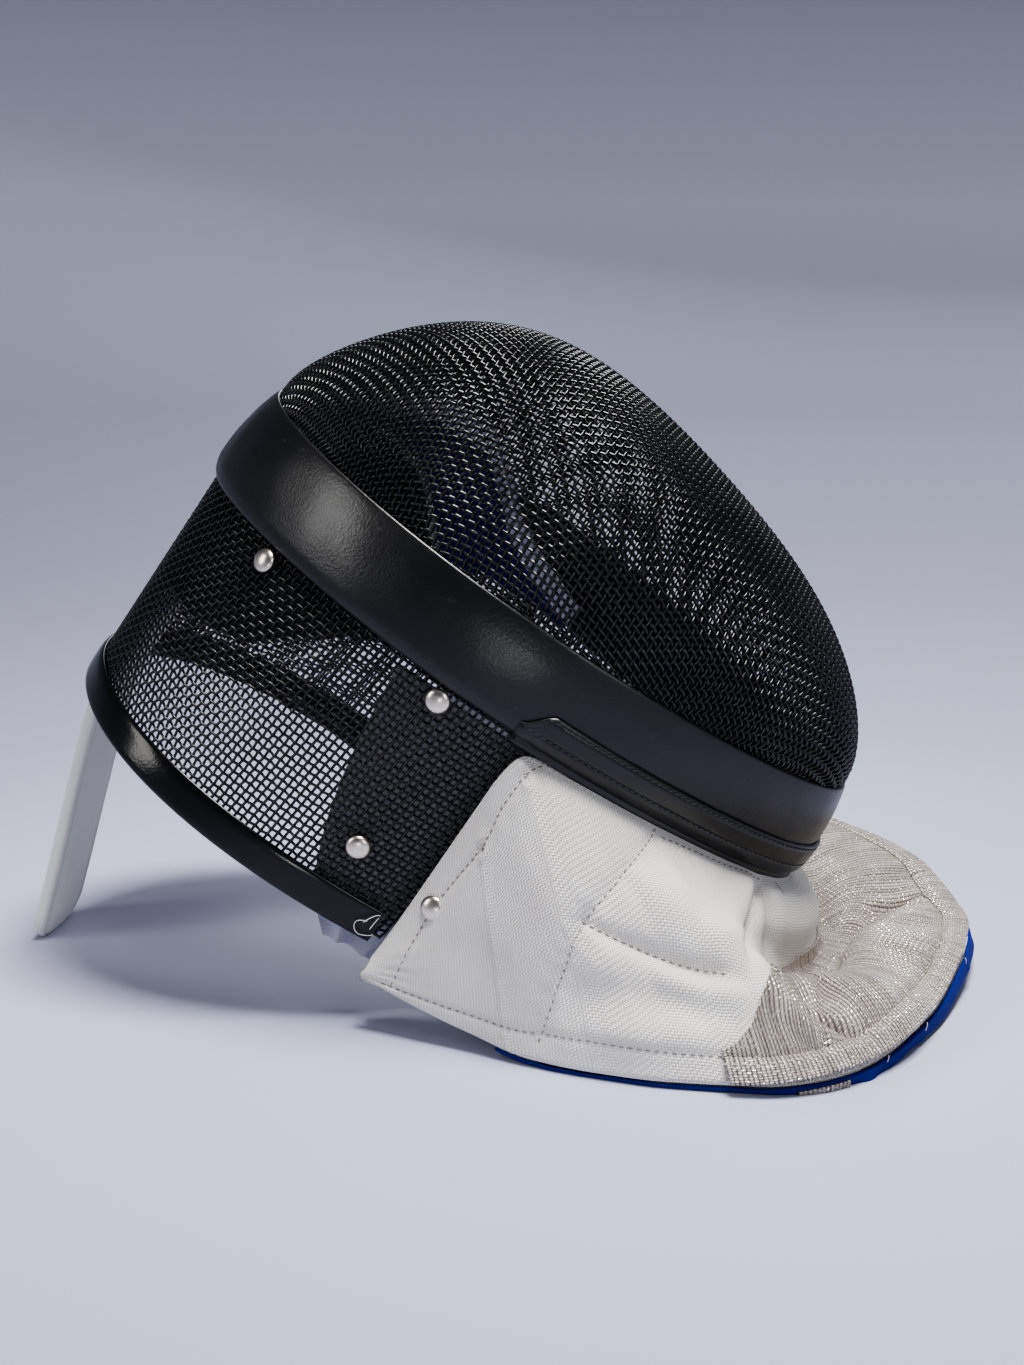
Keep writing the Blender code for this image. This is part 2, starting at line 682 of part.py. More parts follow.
def make_hem(grid, finish):
    rows = over_front(grid, -HEM_STEPS - 1, 2 * CLEARANCE + CLOTH_THICKNESS + HEM_THICKNESS)
    sheet_over("hem", rows, HEM_THICKNESS, finish)


def hem_frame(grid, place):
    """The hem's point, its way out and its normal, at a row number of the grid or between two."""
    row = min(int(place), len(grid[0]) - 2)
    share = place - row
    places, normals = [values[row] * (1 - share) + values[row + 1] * share for values in grid]
    out = places[-1] - places[-2]
    normal = normals[-1] / np.linalg.norm(normals[-1])
    out -= normal * (out @ normal)
    return places[-1], out / np.linalg.norm(out), normal


def edge_sweep(name, grid, places, corners, finish):
    """Solid strip round the hem's edge, flat where it meets the floor. Corners are (outwards, up)
    from the hem's edge."""
    rows = []
    for place in places:
        point, out, normal = hem_frame(grid, place)
        rows.append([on_floor(point + out * outwards + normal * up) for outwards, up in corners])
    return loft_closed(name, rows, finish, ends=True)


def make_blue_edge(grid, finish):
    top, bottom = -BLUE_TUCK, -BLUE_DEPTH
    near, far = HEM_CLEARANCE, HEM_CLEARANCE + BLUE_THICKNESS
    corners = ((near, top), (far, top), (far + BLUE_SHOWS, bottom), (near + BLUE_SHOWS, bottom))
    places = [k for k, along in enumerate(bib_alongs()) if BLUE_FIRST <= along <= 2 - BLUE_FIRST]
    edge_sweep("blue_edge", grid, places, corners, finish)


def make_hem_tab(grid, finish):
    """Small tab over the blue edge."""
    near = HEM_CLEARANCE + BLUE_THICKNESS + CLEARANCE
    far = near + TAB_THICKNESS
    top, bottom = -BLUE_TUCK, -BLUE_TUCK - TAB_DEPTH
    lean = BLUE_SHOWS * TAB_DEPTH / (BLUE_DEPTH - BLUE_TUCK)
    corners = ((near, top), (far, top), (far + lean, bottom), (near + lean, bottom))
    half = TAB_LENGTH / BIB_LENGTH / BIB_LONGER / 2
    alongs = bib_alongs()
    ends = np.interp((TAB_ALONG - half, TAB_ALONG + half), alongs, range(len(alongs)))
    edge_sweep("hem_tab", grid, np.linspace(*ends, 4), corners, finish)


def rivet_back(share):
    first = BAND_WIDTH + RIVET_DIAMETER / 2 + RIVET_BEHIND_BAND
    return first + (SHELL_DEPTH - first) * share


def make_rivets(finish):
    """Domed caps, all of one mesh, on the shell and on the wings of the bib."""
    mesh = rivet_mesh(finish)
    for side_name, side in (("left", 1), ("right", -1)):
        for name, degrees, share in RIVET_PLACES:
            angle, back = side * math.radians(degrees), rivet_back(share)
            base = lay(on_shell(angle, back, CLEARANCE))
            above = lay(on_shell(angle, back, RIVET_DIAMETER))
            place_rivet(f"rivet_{name}_{side_name}", mesh, base, above - base)
        along = WING_RIVET.along if side < 0 else 2 - WING_RIVET.along
        normal = bib_normal(along, WING_RIVET.down)
        base = bib_surface(along, WING_RIVET.down) + normal * CLEARANCE
        place_rivet(f"rivet_wing_{side_name}", mesh, base, normal)


def rivet_mesh(finish):
    bm = bmesh.new()
    turns = np.linspace(0, 2 * math.pi, RIVET_STEPS, endpoint=False)
    rings = [
        [
            bm.verts.new((
                RIVET_DIAMETER / 2 * share * math.cos(turn),
                RIVET_DIAMETER / 2 * share * math.sin(turn),
                RIVET_HEIGHT * height,
            ))
            for turn in turns
        ]
        for share, height in RIVET_PROFILE
    ]
    top = bm.verts.new((0, 0, RIVET_HEIGHT))
    for k in range(RIVET_STEPS):
        after = (k + 1) % RIVET_STEPS
        bm.faces.new((top, rings[0][k], rings[0][after]))
        for one, two in zip(rings, rings[1:]):
            bm.faces.new((one[k], two[k], two[after], one[after]))
    bm.faces.new(list(reversed(rings[-1])))
    bmesh.ops.recalc_face_normals(bm, faces=bm.faces)
    mesh = bpy.data.meshes.new("rivet")
    bm.to_mesh(mesh)
    bm.free()
    mesh.shade_smooth()
    mesh.materials.append(finish)
    return mesh


def place_rivet(name, mesh, base, normal):
    obj = bpy.data.objects.new(name, mesh)
    obj.parent = ROOT
    obj.location = Vector(base)
    obj.rotation_euler = Vector(normal).to_track_quat("Z", "Y").to_euler()
    PIECES.objects.link(obj)


def clear_scene():
    for obj in list(bpy.data.objects):
        bpy.data.objects.remove(obj, do_unlink=True)


def box():
    """Lowest and highest corner of all pieces."""
    bpy.context.view_layer.update()
    graph = bpy.context.evaluated_depsgraph_get()
    corners = []
    for obj in PIECES.objects:
        if obj.type == "MESH":
            evaluated = obj.evaluated_get(graph)
            corners += [evaluated.matrix_world @ vertex.co for vertex in evaluated.data.vertices]
    return np.min(corners, axis=0), np.max(corners, axis=0)


def centre_on_floor():
    """Moves the root so that the whole object stands on z = 0 with its box over the origin."""
    low, high = box()
    ROOT.location = (-(low[0] + high[0]) / 2, -(low[1] + high[1]) / 2, -low[2])


clear_scene()
PIECES = bpy.data.collections.new("fencing_mask")
bpy.context.scene.collection.children.link(PIECES)
ROOT = bpy.data.objects.new("mask_root", None)
PIECES.objects.link(ROOT)

wire = material("black wire", (0.012, 0.012, 0.013), 0.35, 0.6)
leatherette = material("black leatherette", (0.013, 0.013, 0.014), 0.38)
gloss = material("black gloss plastic", (0.010, 0.010, 0.011), 0.15)
cream = material("cream leatherette", (0.78, 0.77, 0.72), 0.5)
white_cloth = material("white cloth", (0.80, 0.79, 0.76), 0.85)
silver_cloth = material("silver cloth", (0.52, 0.49, 0.45), 0.55, 0.35)
blue_cloth = material("blue cloth", (0.02, 0.06, 0.45), 0.8)
nickel = material("nickel", (0.72, 0.68, 0.62), 0.22, 1.0)

make_front_mesh(wire)
make_rear_mesh(wire)
make_main_band(leatherette)
make_bib_strip(leatherette)
make_rear_trim(gloss)
make_tongue(cream)
make_brow_lining(blue_cloth)
make_side_linings(blue_cloth)
bib = bib_grid()
make_bib(bib, white_cloth)
make_bib_front(bib, silver_cloth)
make_hem(bib, silver_cloth)
make_blue_edge(bib, blue_cloth)
make_hem_tab(bib, silver_cloth)
make_rivets(nickel)
centre_on_floor()
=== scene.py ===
"""The looks of a fencing mask lying on its back: woven wire, leatherette bands and a padded bib.

The worn frame has +X out of the face, +Y to the wearer's left and +Z at the crown. lay() turns it
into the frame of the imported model. The bib's places are given by how far along it they lie (0 at
the near rear corner, 1 at the throat, 2 at the far rear corner) and how far down it.
"""

import math
from collections import namedtuple

import bmesh
import bpy
import numpy as np
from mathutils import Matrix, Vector


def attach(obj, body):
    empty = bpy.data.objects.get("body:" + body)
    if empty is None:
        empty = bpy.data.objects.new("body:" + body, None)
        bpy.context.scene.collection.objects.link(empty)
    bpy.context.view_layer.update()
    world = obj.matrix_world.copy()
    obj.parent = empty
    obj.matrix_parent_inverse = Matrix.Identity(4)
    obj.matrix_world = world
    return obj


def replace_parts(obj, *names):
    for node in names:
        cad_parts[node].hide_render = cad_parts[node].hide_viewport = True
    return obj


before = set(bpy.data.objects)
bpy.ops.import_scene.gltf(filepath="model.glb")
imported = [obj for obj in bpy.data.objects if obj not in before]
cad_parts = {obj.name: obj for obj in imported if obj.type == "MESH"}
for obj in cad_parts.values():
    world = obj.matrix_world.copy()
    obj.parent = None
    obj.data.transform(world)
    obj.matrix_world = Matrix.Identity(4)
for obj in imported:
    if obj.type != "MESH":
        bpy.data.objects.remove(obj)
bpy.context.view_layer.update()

# Shell
SHELL_HALF_HEIGHT = 0.148
SHELL_HALF_WIDTH = 0.093
SHELL_DEPTH = 0.152
DOME_DEPTH = 0.080
MESH_WALL = 0.002
CLEARANCE = 0.0004

# Bands on the shell
BAND_WIDTH = 0.045
BAND_THICKNESS = 0.0046
STRIP_WIDTH = 0.018
STRIP_THICKNESS = 0.0016
STRIP_OVERHANG = 0.0028
TRIM_WIDTH = 0.0145
TRIM_INNER_LEG = 0.008
TRIM_THICKNESS = 0.0018

# Tongue
TONGUE_WIDTH = 0.044
TONGUE_THICKNESS = 0.008
TONGUE_FOOT_BEHIND = 0.040
TONGUE_TUCK = 0.042
TONGUE_SINK = 0.0015
TONGUE_SHOULDER = 0.8
TONGUE_BEND = 0.12
TONGUE_CORNER = 0.3
TONGUE_TIP_THINNER = 0.45
TONGUE_FLAT_SIDES = 0.35
TONGUE_FLAT_FACES = 0.55
TONGUE_SEAM = 0.62
TONGUE_SEAM_WIDTH = 0.30
TONGUE_SEAM_DEPTH = 0.12
TONGUE_FACE = 0.80
TONGUE_WAVES = 0.03

# Padding
LINING_THICKNESS = 0.005
LINING_GAP = 0.0005
LINING_BEHIND_CROWN = 0.092
LINING_WAVES = 0.0004
LINING_THINNER = 0.0006
BROW_BINDING = 0.012
FLAP_THICKNESS = 0.003
FLAP_BEHIND_BAND = 0.006
FLAP_THINNER = 0.0005
FLAP_GAP = 0.0002
FLAP_FOLD = 0.0010
FLAP_FOLD_BEHIND = 0.0030
FLAP_SHOWS_FROM = 0.90
FLAP_FOLD_RUN = 0.15
BIB_THICKNESS = 0.0045
BIB_LENGTH = 0.079
BIB_BEHIND_BAND = 0.00136
BIB_HALF_WIDTH = 0.128
BIB_PUFF = np.array([0.3, 0.8, 0.5])
BIB_LONGER = 4.0
FOLD_END_DROP = 0.6
BIB_THINNER = 0.0002
HEM_WIDTH = 0.008
HEM_THICKNESS = 0.0022
HEM_LEAST = 0.16
HEM_ROLL_FROM = 0.45
HEM_GAP = 0.0001
CLOTH_THICKNESS = 0.0010
BLUE_THICKNESS = 0.0016
BLUE_TUCK = 0.0020
BLUE_DEPTH = 0.0072
BLUE_SHOWS = 0.0025
HEM_CLEARANCE = 0.0007
BLUE_FIRST = 0.20
TAB_LENGTH = 0.023
TAB_DEPTH = 0.0045
TAB_THICKNESS = 0.0010
TAB_ALONG = 0.60

# Top of the bib, pressed thin under the strip's overhang
TUCK_FIRST = 0.333
TUCK_FADE = 0.02
TUCK_SHARE = 0.10
TUCK_OUT = 0.0008
TUCK_THINNER = 0.75

# How far apart the rows along the bib and the silver front are, closer where the folds are, and from
# where to where that is. Each rim starts with a few rows that are closer still.
BIB_RIM = np.array([0, 0.0006, 0.002, 0.004, 0.007])
BIB_RIM_END = 0.012
BIB_STEP = 0.0076
BIB_FINE_STEP = 0.0040
BIB_FOLDS = (0.36, 0.80)
BIB_FAR_ROWS = 128
BIB_FAR_END = 0.992
FRONT_RIM = np.array([0, 0.0004, 0.0015])
FRONT_RIM_END = 0.004
FRONT_STEP = 0.0075
FRONT_FINE_STEP = 0.0031
FRONT_FOLDS_END = 1.26

# Worn cloth: low waves, puckers along each sewn line, and dimples where a rivet or a seam pulls.
# The folds are lower in the throat's bend, where the two sides of the cloth meet, and at the hem.
WAVE_HEIGHT = 0.00045
CREASE_END_DROP = 0.85
FLAT_AT_HEM = 0.014
SEAM_HALF_WIDTH = 0.0016
PUCKER_HEIGHT = 0.00028
PUCKER_PITCH = 0.0085
PUCKER_FROM = 0.002
PUCKER_TO = 0.006
HEM_LINE_DEPTH = 0.0006
HEM_LINE_WIDTH = 0.0012
DIMPLE_DEPTH = 0.0020
DIMPLE_WIDTH = 0.0018
DIMPLE_RIM_HEIGHT = 0.0009
DIMPLE_RIM_RADIUS = 0.0028
DIMPLE_RIM_WIDTH = 0.0014
THROAT_FLATTER = 0.8
THROAT_BEND = 0.50
THROAT_BEND_REACH = 0.10

# The white cloth is pressed down under the silver front, from a little below its seam
PRESSED_DEPTH = 0.0022
PRESSED_FROM = 0.015
PRESSED_FADE = 0.04

# Round edges of soft pieces: where their close rows lie, as shares of the edge, and how round it is
EDGE_STEPS = np.array([0.0, 0.08, 0.25, 0.5, 0.8])
EDGE_ROUNDNESS = 0.92
FLOOR_GAP = 0.0001

# How far apart two places are taken to find the way from one to the other
PROBE = 0.001

# Detail of the bands: waves of the soft leatherette, how the strip rounds at its edges, is cut at its
# ends and sinks along its sewn rows (place of each row, and how far from the ends its stitches start)
BAND_EDGES = 0.02
BAND_EDGE_LEAST = 0.35
BAND_WAVES = 0.00014
STRIP_FLAT_FROM = 0.0016
STRIP_EDGE = 0.0011
STRIP_EDGE_LEAST = 0.25
STRIP_UNDER = 0.0002
STRIP_LIFT = 0.0005
STRIP_LIFT_RUN = 0.001
STRIP_WAVES = 0.00007
STRIP_CUT = 0.55
STRIP_CUT_RUN = 0.075
STRIP_END_RUN = 0.012
STRIP_END_LEAST = 0.35
STRIP_ROWS = ((0.0020, 0.06), (0.0108, 0.03))
SEWN_DEPTH = 0.0007
SEWN_HALF_WIDTH = 0.0007
ROUND_STEPS = np.array([0.0, 0.0001, 0.0004, 0.0009])

# Rivets
RIVET_DIAMETER = 0.0106
RIVET_HEIGHT = 0.0030
RIVET_BEHIND_BAND = 0.0011

# Pose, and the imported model's place over the floor
LYING_TILT = math.radians(56.2)
SHELL_REST_HEIGHT = 0.1723
PACKED_SHIFT = np.array([0.03217, 0.00008, 0.0])

CROWN_TO_JAW = math.radians(97.5)
CROWN_TO_MESH_END = math.radians(105)

# Woven wire
WIRE_PITCH = 0.0031
FRONT_WIRE_RADIUS = 0.00076
REAR_WIRE_RADIUS = 0.00062
WIRE_CRIMP = 0.0005
WIRE_SIDES = 4
WIRE_TOP = 0.17
NET_START_HEIGHT = 0.035
NET_TO_SIDE = 68
NET_TO_CROWN = 64
NET_TO_CHIN = 82
SHORTEST_WIRE = 3
NET_MISFIT = 1e-5
NET_LEAST_CORNER = 0.3
FRONT_NET_BEHIND = 0.024
REAR_NET_FIRST = 0.0215

Station = namedtuple("Station", "back height chin width crown taper bow")
STATIONS = (
    Station(back=0.0, height=1.000, chin=0.000, width=1.000, crown=0.063, taper=0.175, bow=0.0263),
    Station(back=0.3, height=1.034, chin=0.022, width=1.000, crown=0.086, taper=0.237, bow=0.0461),
    Station(back=1.0, height=1.041, chin=0.022, width=0.946, crown=0.387, taper=0.097, bow=0.000),
)
STATION_BACKS = [row.back * SHELL_DEPTH for row in STATIONS]
DOME_SHAPE = (1.0, 0.307, 0.171, -0.296, -0.366)
DOME_SQUARENESS = 2.2

# Soft cross section of the band: share of its width, share of its thickness
BAND_SECTION = ((0.0, 0.16), (0.10, 0.44), (0.30, 0.80), (0.60, 1.0), (0.82, 0.92), (0.94, 0.6), (1.0, 0.2))

LiningRow = namedtuple("LiningRow", "around rear front")
LINING_ROWS = (
    LiningRow(around=0.00, rear=1.00, front=-0.10),
    LiningRow(around=0.35, rear=0.99, front=-0.16),
    LiningRow(around=0.52, rear=0.91, front=-0.27),
    LiningRow(around=0.62, rear=0.74, front=-0.25),
    LiningRow(around=0.70, rear=0.58, front=-0.09),
    LiningRow(around=0.78, rear=0.50, front=0.12),
    LiningRow(around=0.86, rear=0.49, front=0.24),
    LiningRow(around=0.96, rear=0.49, front=0.34),
)

FlapRow = namedtuple("FlapRow", "back upper lower")
FLAP_ROWS = (
    FlapRow(back=0.00, upper=77.0, lower=104.0),
    FlapRow(back=0.30, upper=78.5, lower=104.0),
    FlapRow(back=0.60, upper=81.0, lower=104.0),
    FlapRow(back=0.88, upper=85.0, lower=103.5),
    FlapRow(back=1.00, upper=88.0, lower=102.0),
    FlapRow(back=1.11, upper=92.0, lower=100.5),
)

BibRow = namedtuple("BibRow", "along back around out forward side lift far_forward far_lift")
BIB_ROWS = (
    BibRow(0.00, 1.043, 99.0, 1.11, -2.153, 0.750, 5.30, 0.00, 0.0),
    BibRow(0.08, 0.770, 99.0, 1.11, -1.875, 0.797, 3.50, 0.00, 0.0),
    BibRow(0.16, 0.482, 99.0, 1.11, -1.558, 0.852, 1.90, 0.00, 0.0),
    BibRow(0.25, 0.209, 99.0, 1.11, -1.178, 0.938, 0.70, 0.00, 0.0),
    BibRow(0.33, 0.043, 100.0, 1.11, -0.862, 0.984, 0.55, 0.00, 0.1),
    BibRow(0.42, 0.000, 113.0, 0.80, -0.482, 1.016, 0.70, 0.00, 2.8),
    BibRow(0.52, 0.000, 128.0, 0.75, -0.039, 1.008, 0.95, 0.00, 6.4),
    BibRow(0.60, 0.000, 139.0, 0.75, 0.277, 0.938, 1.30, 0.03, 5.6),
    BibRow(0.72, 0.000, 152.0, 0.75, 0.606, 0.703, 1.60, 0.15, 3.6),
    BibRow(0.85, 0.000, 166.0, 0.75, 0.810, 0.390, 2.20, 0.15, 1.4),
    BibRow(1.00, 0.000, 180.0, 0.75, 0.965, 0.000, 3.70, 0.00, 0.0),
)

ThroatRow = namedtuple("ThroatRow", "down forward height")
THROAT_ROWS = (
    ThroatRow(down=0.00, forward=0.000, height=1.00),
    ThroatRow(down=0.12, forward=0.110, height=0.84),
    ThroatRow(down=0.23, forward=0.165, height=0.62),
    ThroatRow(down=0.33, forward=0.145, height=0.41),
    ThroatRow(down=0.42, forward=0.160, height=0.27),
    ThroatRow(down=0.52, forward=0.245, height=0.26),
    ThroatRow(down=0.66, forward=0.460, height=0.39),
    ThroatRow(down=0.85, forward=0.790, height=0.45),
    ThroatRow(down=1.00, forward=1.000, height=0.41),
)
THROAT_SHARE = ((0.0, 0.50, 0.66, 0.82, 1.0), (0.0, 0.0, 0.55, 1.0, 1.0))

# Folds: from one place (along, down) to another, half width and height in shares of BIB_THICKNESS
Fold = namedtuple("Fold", "name along0 down0 along1 down1 width height")
FOLDS = (
    Fold("near lip", 0.50, 0.42, 0.80, 0.86, 3.0, 2.2),
    Fold("near valley", 0.62, 0.34, 0.93, 0.50, 2.6, -0.9),
    Fold("far groove", 1.02, 0.50, 1.26, 0.86, 1.6, -0.8),
    Fold("jaw quilt line", 0.50, 0.04, 0.26, 0.93, 1.3, -0.4),
    Fold("wing quilt line", 0.36, 0.52, 0.52, 0.60, 1.5, -0.4),
    Fold("throat crease", 0.74, 0.04, 0.70, 0.36, 1.5, -0.8),
)

# Folds of the worn cloth beyond the CAD's: half width and height in metres, and a path of (along, down)
Crease = namedtuple("Crease", "name width height path")
CREASES = (
    Crease("lip valley", 0.0024, -0.0048,
           ((0.585, 0.56), (0.608, 0.68), (0.632, 0.78), (0.655, 0.86), (0.69, 0.945))),
    Crease("lip ridge", 0.0040, 0.0030,
           ((0.560, 0.62), (0.580, 0.71), (0.602, 0.81), (0.625, 0.88), (0.65, 0.93))),
    Crease("deep dent", 0.0070, -0.0080,
           ((0.60, 0.60), (0.655, 0.72), (0.70, 0.68))),
    Crease("far groove", 0.0034, -0.0062,
           ((0.78, 0.60), (0.948, 0.556), (1.10, 0.60), (1.19, 0.72), (1.21, 0.93))),
    Crease("groove ridge", 0.0065, 0.0042,
           ((0.85, 0.72), (0.93, 0.66), (1.05, 0.68), (1.125, 0.78), (1.15, 0.90))),
    Crease("far lobe", 0.0110, 0.0030,
           ((0.90, 0.42), (1.08, 0.47), (1.25, 0.62), (1.32, 0.82))),
    Crease("white crease", 0.0024, -0.0042,
           ((0.755, 0.03), (0.703, 0.10), (0.670, 0.17), (0.635, 0.263), (0.560, 0.47), (0.550, 0.58))),
    Crease("white ridge", 0.0050, 0.0026,
           ((0.700, 0.04), (0.650, 0.13), (0.590, 0.28), (0.520, 0.46), (0.505, 0.56))),
    Crease("roll ridge", 0.0060, 0.0014,
           ((0.78, 0.10), (0.72, 0.20), (0.66, 0.33), (0.60, 0.46))),
    Crease("quilt valley", 0.0036, -0.0026,
           ((0.366, 0.518), (0.422, 0.548), (0.482, 0.588), (0.555, 0.620))),
    Crease("quilt ridge", 0.0050, 0.0032,
           ((0.430, 0.625), (0.480, 0.665), (0.545, 0.672))),
    Crease("low valley", 0.0070, -0.0030,
           ((0.300, 0.790), (0.388, 0.738), (0.455, 0.720), (0.500, 0.745))),
    Crease("low ridge", 0.0065, 0.0026,
           ((0.330, 0.880), (0.405, 0.850), (0.473, 0.835), (0.515, 0.80))),
    Crease("jaw puff", 0.0120, 0.0032,
           ((0.440, 0.36), (0.520, 0.27))),
    Crease("low puff", 0.0090, 0.0010,
           ((0.345, 0.70), (0.400, 0.66))),
    Crease("wing puff", 0.0160, 0.0012,
           ((0.200, 0.55), (0.320, 0.32))),
    Crease("lobe", 0.0140, 0.0040,
           ((0.740, 0.80), (0.930, 0.77), (1.05, 0.84))),
)

SeamRow = namedtuple("SeamRow", "along down")
FRONT_SEAM = (
    SeamRow(along=0.00, down=0.55),
    SeamRow(along=0.30, down=0.62),
    SeamRow(along=0.49, down=0.87),
    SeamRow(along=0.53, down=0.79),
    SeamRow(along=0.57, down=0.61),
    SeamRow(along=0.62, down=0.47),
    SeamRow(along=0.70, down=0.40),
    SeamRow(along=0.85, down=0.35),
    SeamRow(along=1.00, down=0.33),
)
FRONT_CORNER = 0.49

# Rivets on the mesh: degrees from the crown, and share of the way from the band to the rim
RIVET_PLACES = (("temple", 47.0, 0.0), ("cheek", 85.7, 0.0), ("ear", 88.2, 0.671))
WING_RIVET = (0.124, 0.250)

# A rivet's cap from its top to its middle underneath: shares of its radius and height
CAP_PROFILE = np.array([
    (0.0, 1.00), (0.18, 0.985), (0.36, 0.94), (0.54, 0.86), (0.70, 0.75), (0.82, 0.62), (0.90, 0.50),
    (0.96, 0.36), (0.995, 0.22), (1.0, 0.10), (0.985, 0.02), (0.94, 0.0), (0.5, 0.0), (0.0, 0.0),
])

# Sewn lines on the near half of the bib, as (along, down). The far half has the same ones.
JAW_SEAM = ((0.497, 0.041), (0.430, 0.285), (0.364, 0.524), (0.337, 0.621), (0.298, 0.755), (0.262, 0.925))
WING_SEAM = ((0.366, 0.518), (0.415, 0.544), (0.471, 0.570), (0.520, 0.585))
TOP_SEAM = ((0.508, 0.055), (0.560, 0.050), (0.640, 0.045), (0.740, 0.040))
EDGE_SEAM = ((0.372, 0.010), (0.338, 0.061), (0.268, 0.110), (0.219, 0.173), (0.170, 0.200), (0.128, 0.245),
             (0.090, 0.400), (0.065, 0.650), (0.054, 0.860))
SEAM_DEPTHS = ((JAW_SEAM, 0.0013), (WING_SEAM, 0.0009), (TOP_SEAM, 0.0006), (EDGE_SEAM, 0.0009))
DIMPLES = ((0.338, 0.061), (0.219, 0.173))

# Stitches: pitch, length and thickness of the thread, and a seed
Stitches = namedtuple("Stitches", "pitch length thread seed")
STRIP_STITCHES = Stitches(pitch=0.0031, length=0.0022, thread=0.0008, seed=3)
HEM_STITCHES = Stitches(pitch=0.0036, length=0.0027, thread=0.0006, seed=5)
BIB_STITCHES = Stitches(pitch=0.0034, length=0.0021, thread=0.0006, seed=7)
STITCH_UNEVEN = (0.85, 1.12)
STITCH_REACH = 0.004
STITCH_LIFT = 0.0002
SEAM_STITCH_LIFT = 0.0003
HEM_STITCHES_FROM = 0.04

# Loose threads: the loop and the tufts lie over the end of the trim, so far before its rim and so high
# over it, and each cut end under the hem has its place along the bib and its length
LOOSE_THREAD_RADIUS = 0.00018
LOOP_RADIUS = 0.0026
LOOP_LONGER = 1.3
LOOP_BEFORE_RIM = 0.006
LOOP_LIFT = 0.0008
LOOP_RISE = 0.0010
TUFT_BEFORE_RIM = 0.012
TUFT_TURNS = (0.2, 0.9)
TUFT_LIFT = 0.0006
TUFT_RISE = 0.0022
THREAD_ENDS = ((0.985, 0.0024), (0.80, 0.0030), (0.70, 0.0026))


# Numbers

def column(rows, name):
    return [getattr(row, name) for row in rows]


def smooth(x, xs, ys):
    """Monotone cubic through (xs, ys), so a table's few rows give a soft curve."""
    xs = np.asarray(xs, float)
    ys = np.asarray(ys, float)
    slopes = np.diff(ys) / np.diff(xs)
    tangents = np.zeros(len(xs))
    both = slopes[:-1] * slopes[1:] > 0
    tangents[1:-1][both] = 2 * slopes[:-1][both] * slopes[1:][both] / (slopes[:-1] + slopes[1:])[both]
    tangents[0], tangents[-1] = slopes[0], slopes[-1]
    x = np.clip(x, xs[0], xs[-1])
    i = np.clip(np.searchsorted(xs, x, side="right") - 1, 0, len(xs) - 2)
    width = xs[i + 1] - xs[i]
    t = (x - xs[i]) / width
    return (
        ys[i] * (1 + 2 * t) * (1 - t) ** 2
        + ys[i + 1] * t * t * (3 - 2 * t)
        + width * tangents[i] * t * (1 - t) ** 2
        - width * tangents[i + 1] * t * t * (1 - t)
    )


def ease(x):
    """From 0 to 1 with a level start and end."""
    x = np.clip(x, 0, 1)
    return x * x * (3 - 2 * x)


def hump(apart, width):
    return np.exp(-((apart / width) ** 2))


def unit(vectors):
    return vectors / np.maximum(np.linalg.norm(vectors, axis=-1, keepdims=True), 1e-12)


def length_along(points):
    """Length from the first point of a line to each of its points."""
    return np.concatenate([[0], np.cumsum(np.linalg.norm(np.diff(points, axis=0), axis=1))])


def lay(points):
    """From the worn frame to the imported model's."""
    x, y, z = np.moveaxis(np.asarray(points, float), -1, 0)
    sine, cosine = math.sin(LYING_TILT), math.cos(LYING_TILT)
    laid = np.stack([x * cosine - z * sine, y, x * sine + z * cosine + SHELL_REST_HEIGHT], -1)
    return laid + PACKED_SHIFT


def lay_way(ways):
    return lay(ways) - lay(np.zeros(3))


def over_floor(points):
    lifted = np.array(points)
    lifted[..., 2] = np.maximum(lifted[..., 2], FLOOR_GAP)
    return lifted


# Shell

def station(back, name):
    return np.interp(back, STATION_BACKS, column(STATIONS, name))


def outline(angle, back):
    """Points of the shell behind the ring, angle from the crown towards the wearer's left."""
    angle, back = np.broadcast_arrays(np.asarray(angle, float), back)
    c, s = np.cos(angle), np.sin(angle)
    width = SHELL_HALF_WIDTH * station(back, "width")
    spread = 1 + station(back, "crown") * c - station(back, "taper") * c * c
    height = station(back, "height") - station(back, "chin") * (1 - c) / 2
    x = SHELL_DEPTH * station(back, "bow") * s * s - back
    return np.stack([x, width * s * spread, SHELL_HALF_HEIGHT * height * c], -1)


def dome_height(y, z):
    c = np.clip(z / SHELL_HALF_HEIGHT, -1, 1)
    s = np.sqrt(np.maximum(0.0, 1 - c * c))
    row = STATIONS[0]
    width = SHELL_HALF_WIDTH * row.width * s * (1 + row.crown * c - row.taper * c * c)
    middle = DOME_DEPTH * s * sum(share * c**power for power, share in enumerate(DOME_SHAPE))
    across = np.minimum(1.0, np.abs(y) / np.maximum(width, 1e-9))
    curve = (1 - across**DOME_SQUARENESS) ** (1 / DOME_SQUARENESS)
    return SHELL_DEPTH * row.bow * s * s + middle * curve


def dome(angle, inward):
    ring = outline(angle, 0.0)
    y = ring[..., 1] * (1 - inward)
    z = ring[..., 2] * (1 - inward)
    return np.stack([dome_height(y, z), y, z], -1)


def surface(angle, back):
    """The shell's outer surface behind the ring, or in front of it where back is negative."""
    angle, back = np.broadcast_arrays(np.asarray(angle, float), np.asarray(back, float))
    behind = outline(angle, np.maximum(back, 0))
    if np.all(back >= 0):
        return behind
    ring_x = outline(angle, 0.0)[..., 0]
    low, high = np.zeros(angle.shape), np.ones(angle.shape)
    for _ in range(30):
        middle = (low + high) / 2
        short = dome(angle, middle)[..., 0] - ring_x < -back
        low = np.where(short, middle, low)
        high = np.where(short, high, middle)
    return np.where((back >= 0)[..., None], behind, dome(angle, (low + high) / 2))


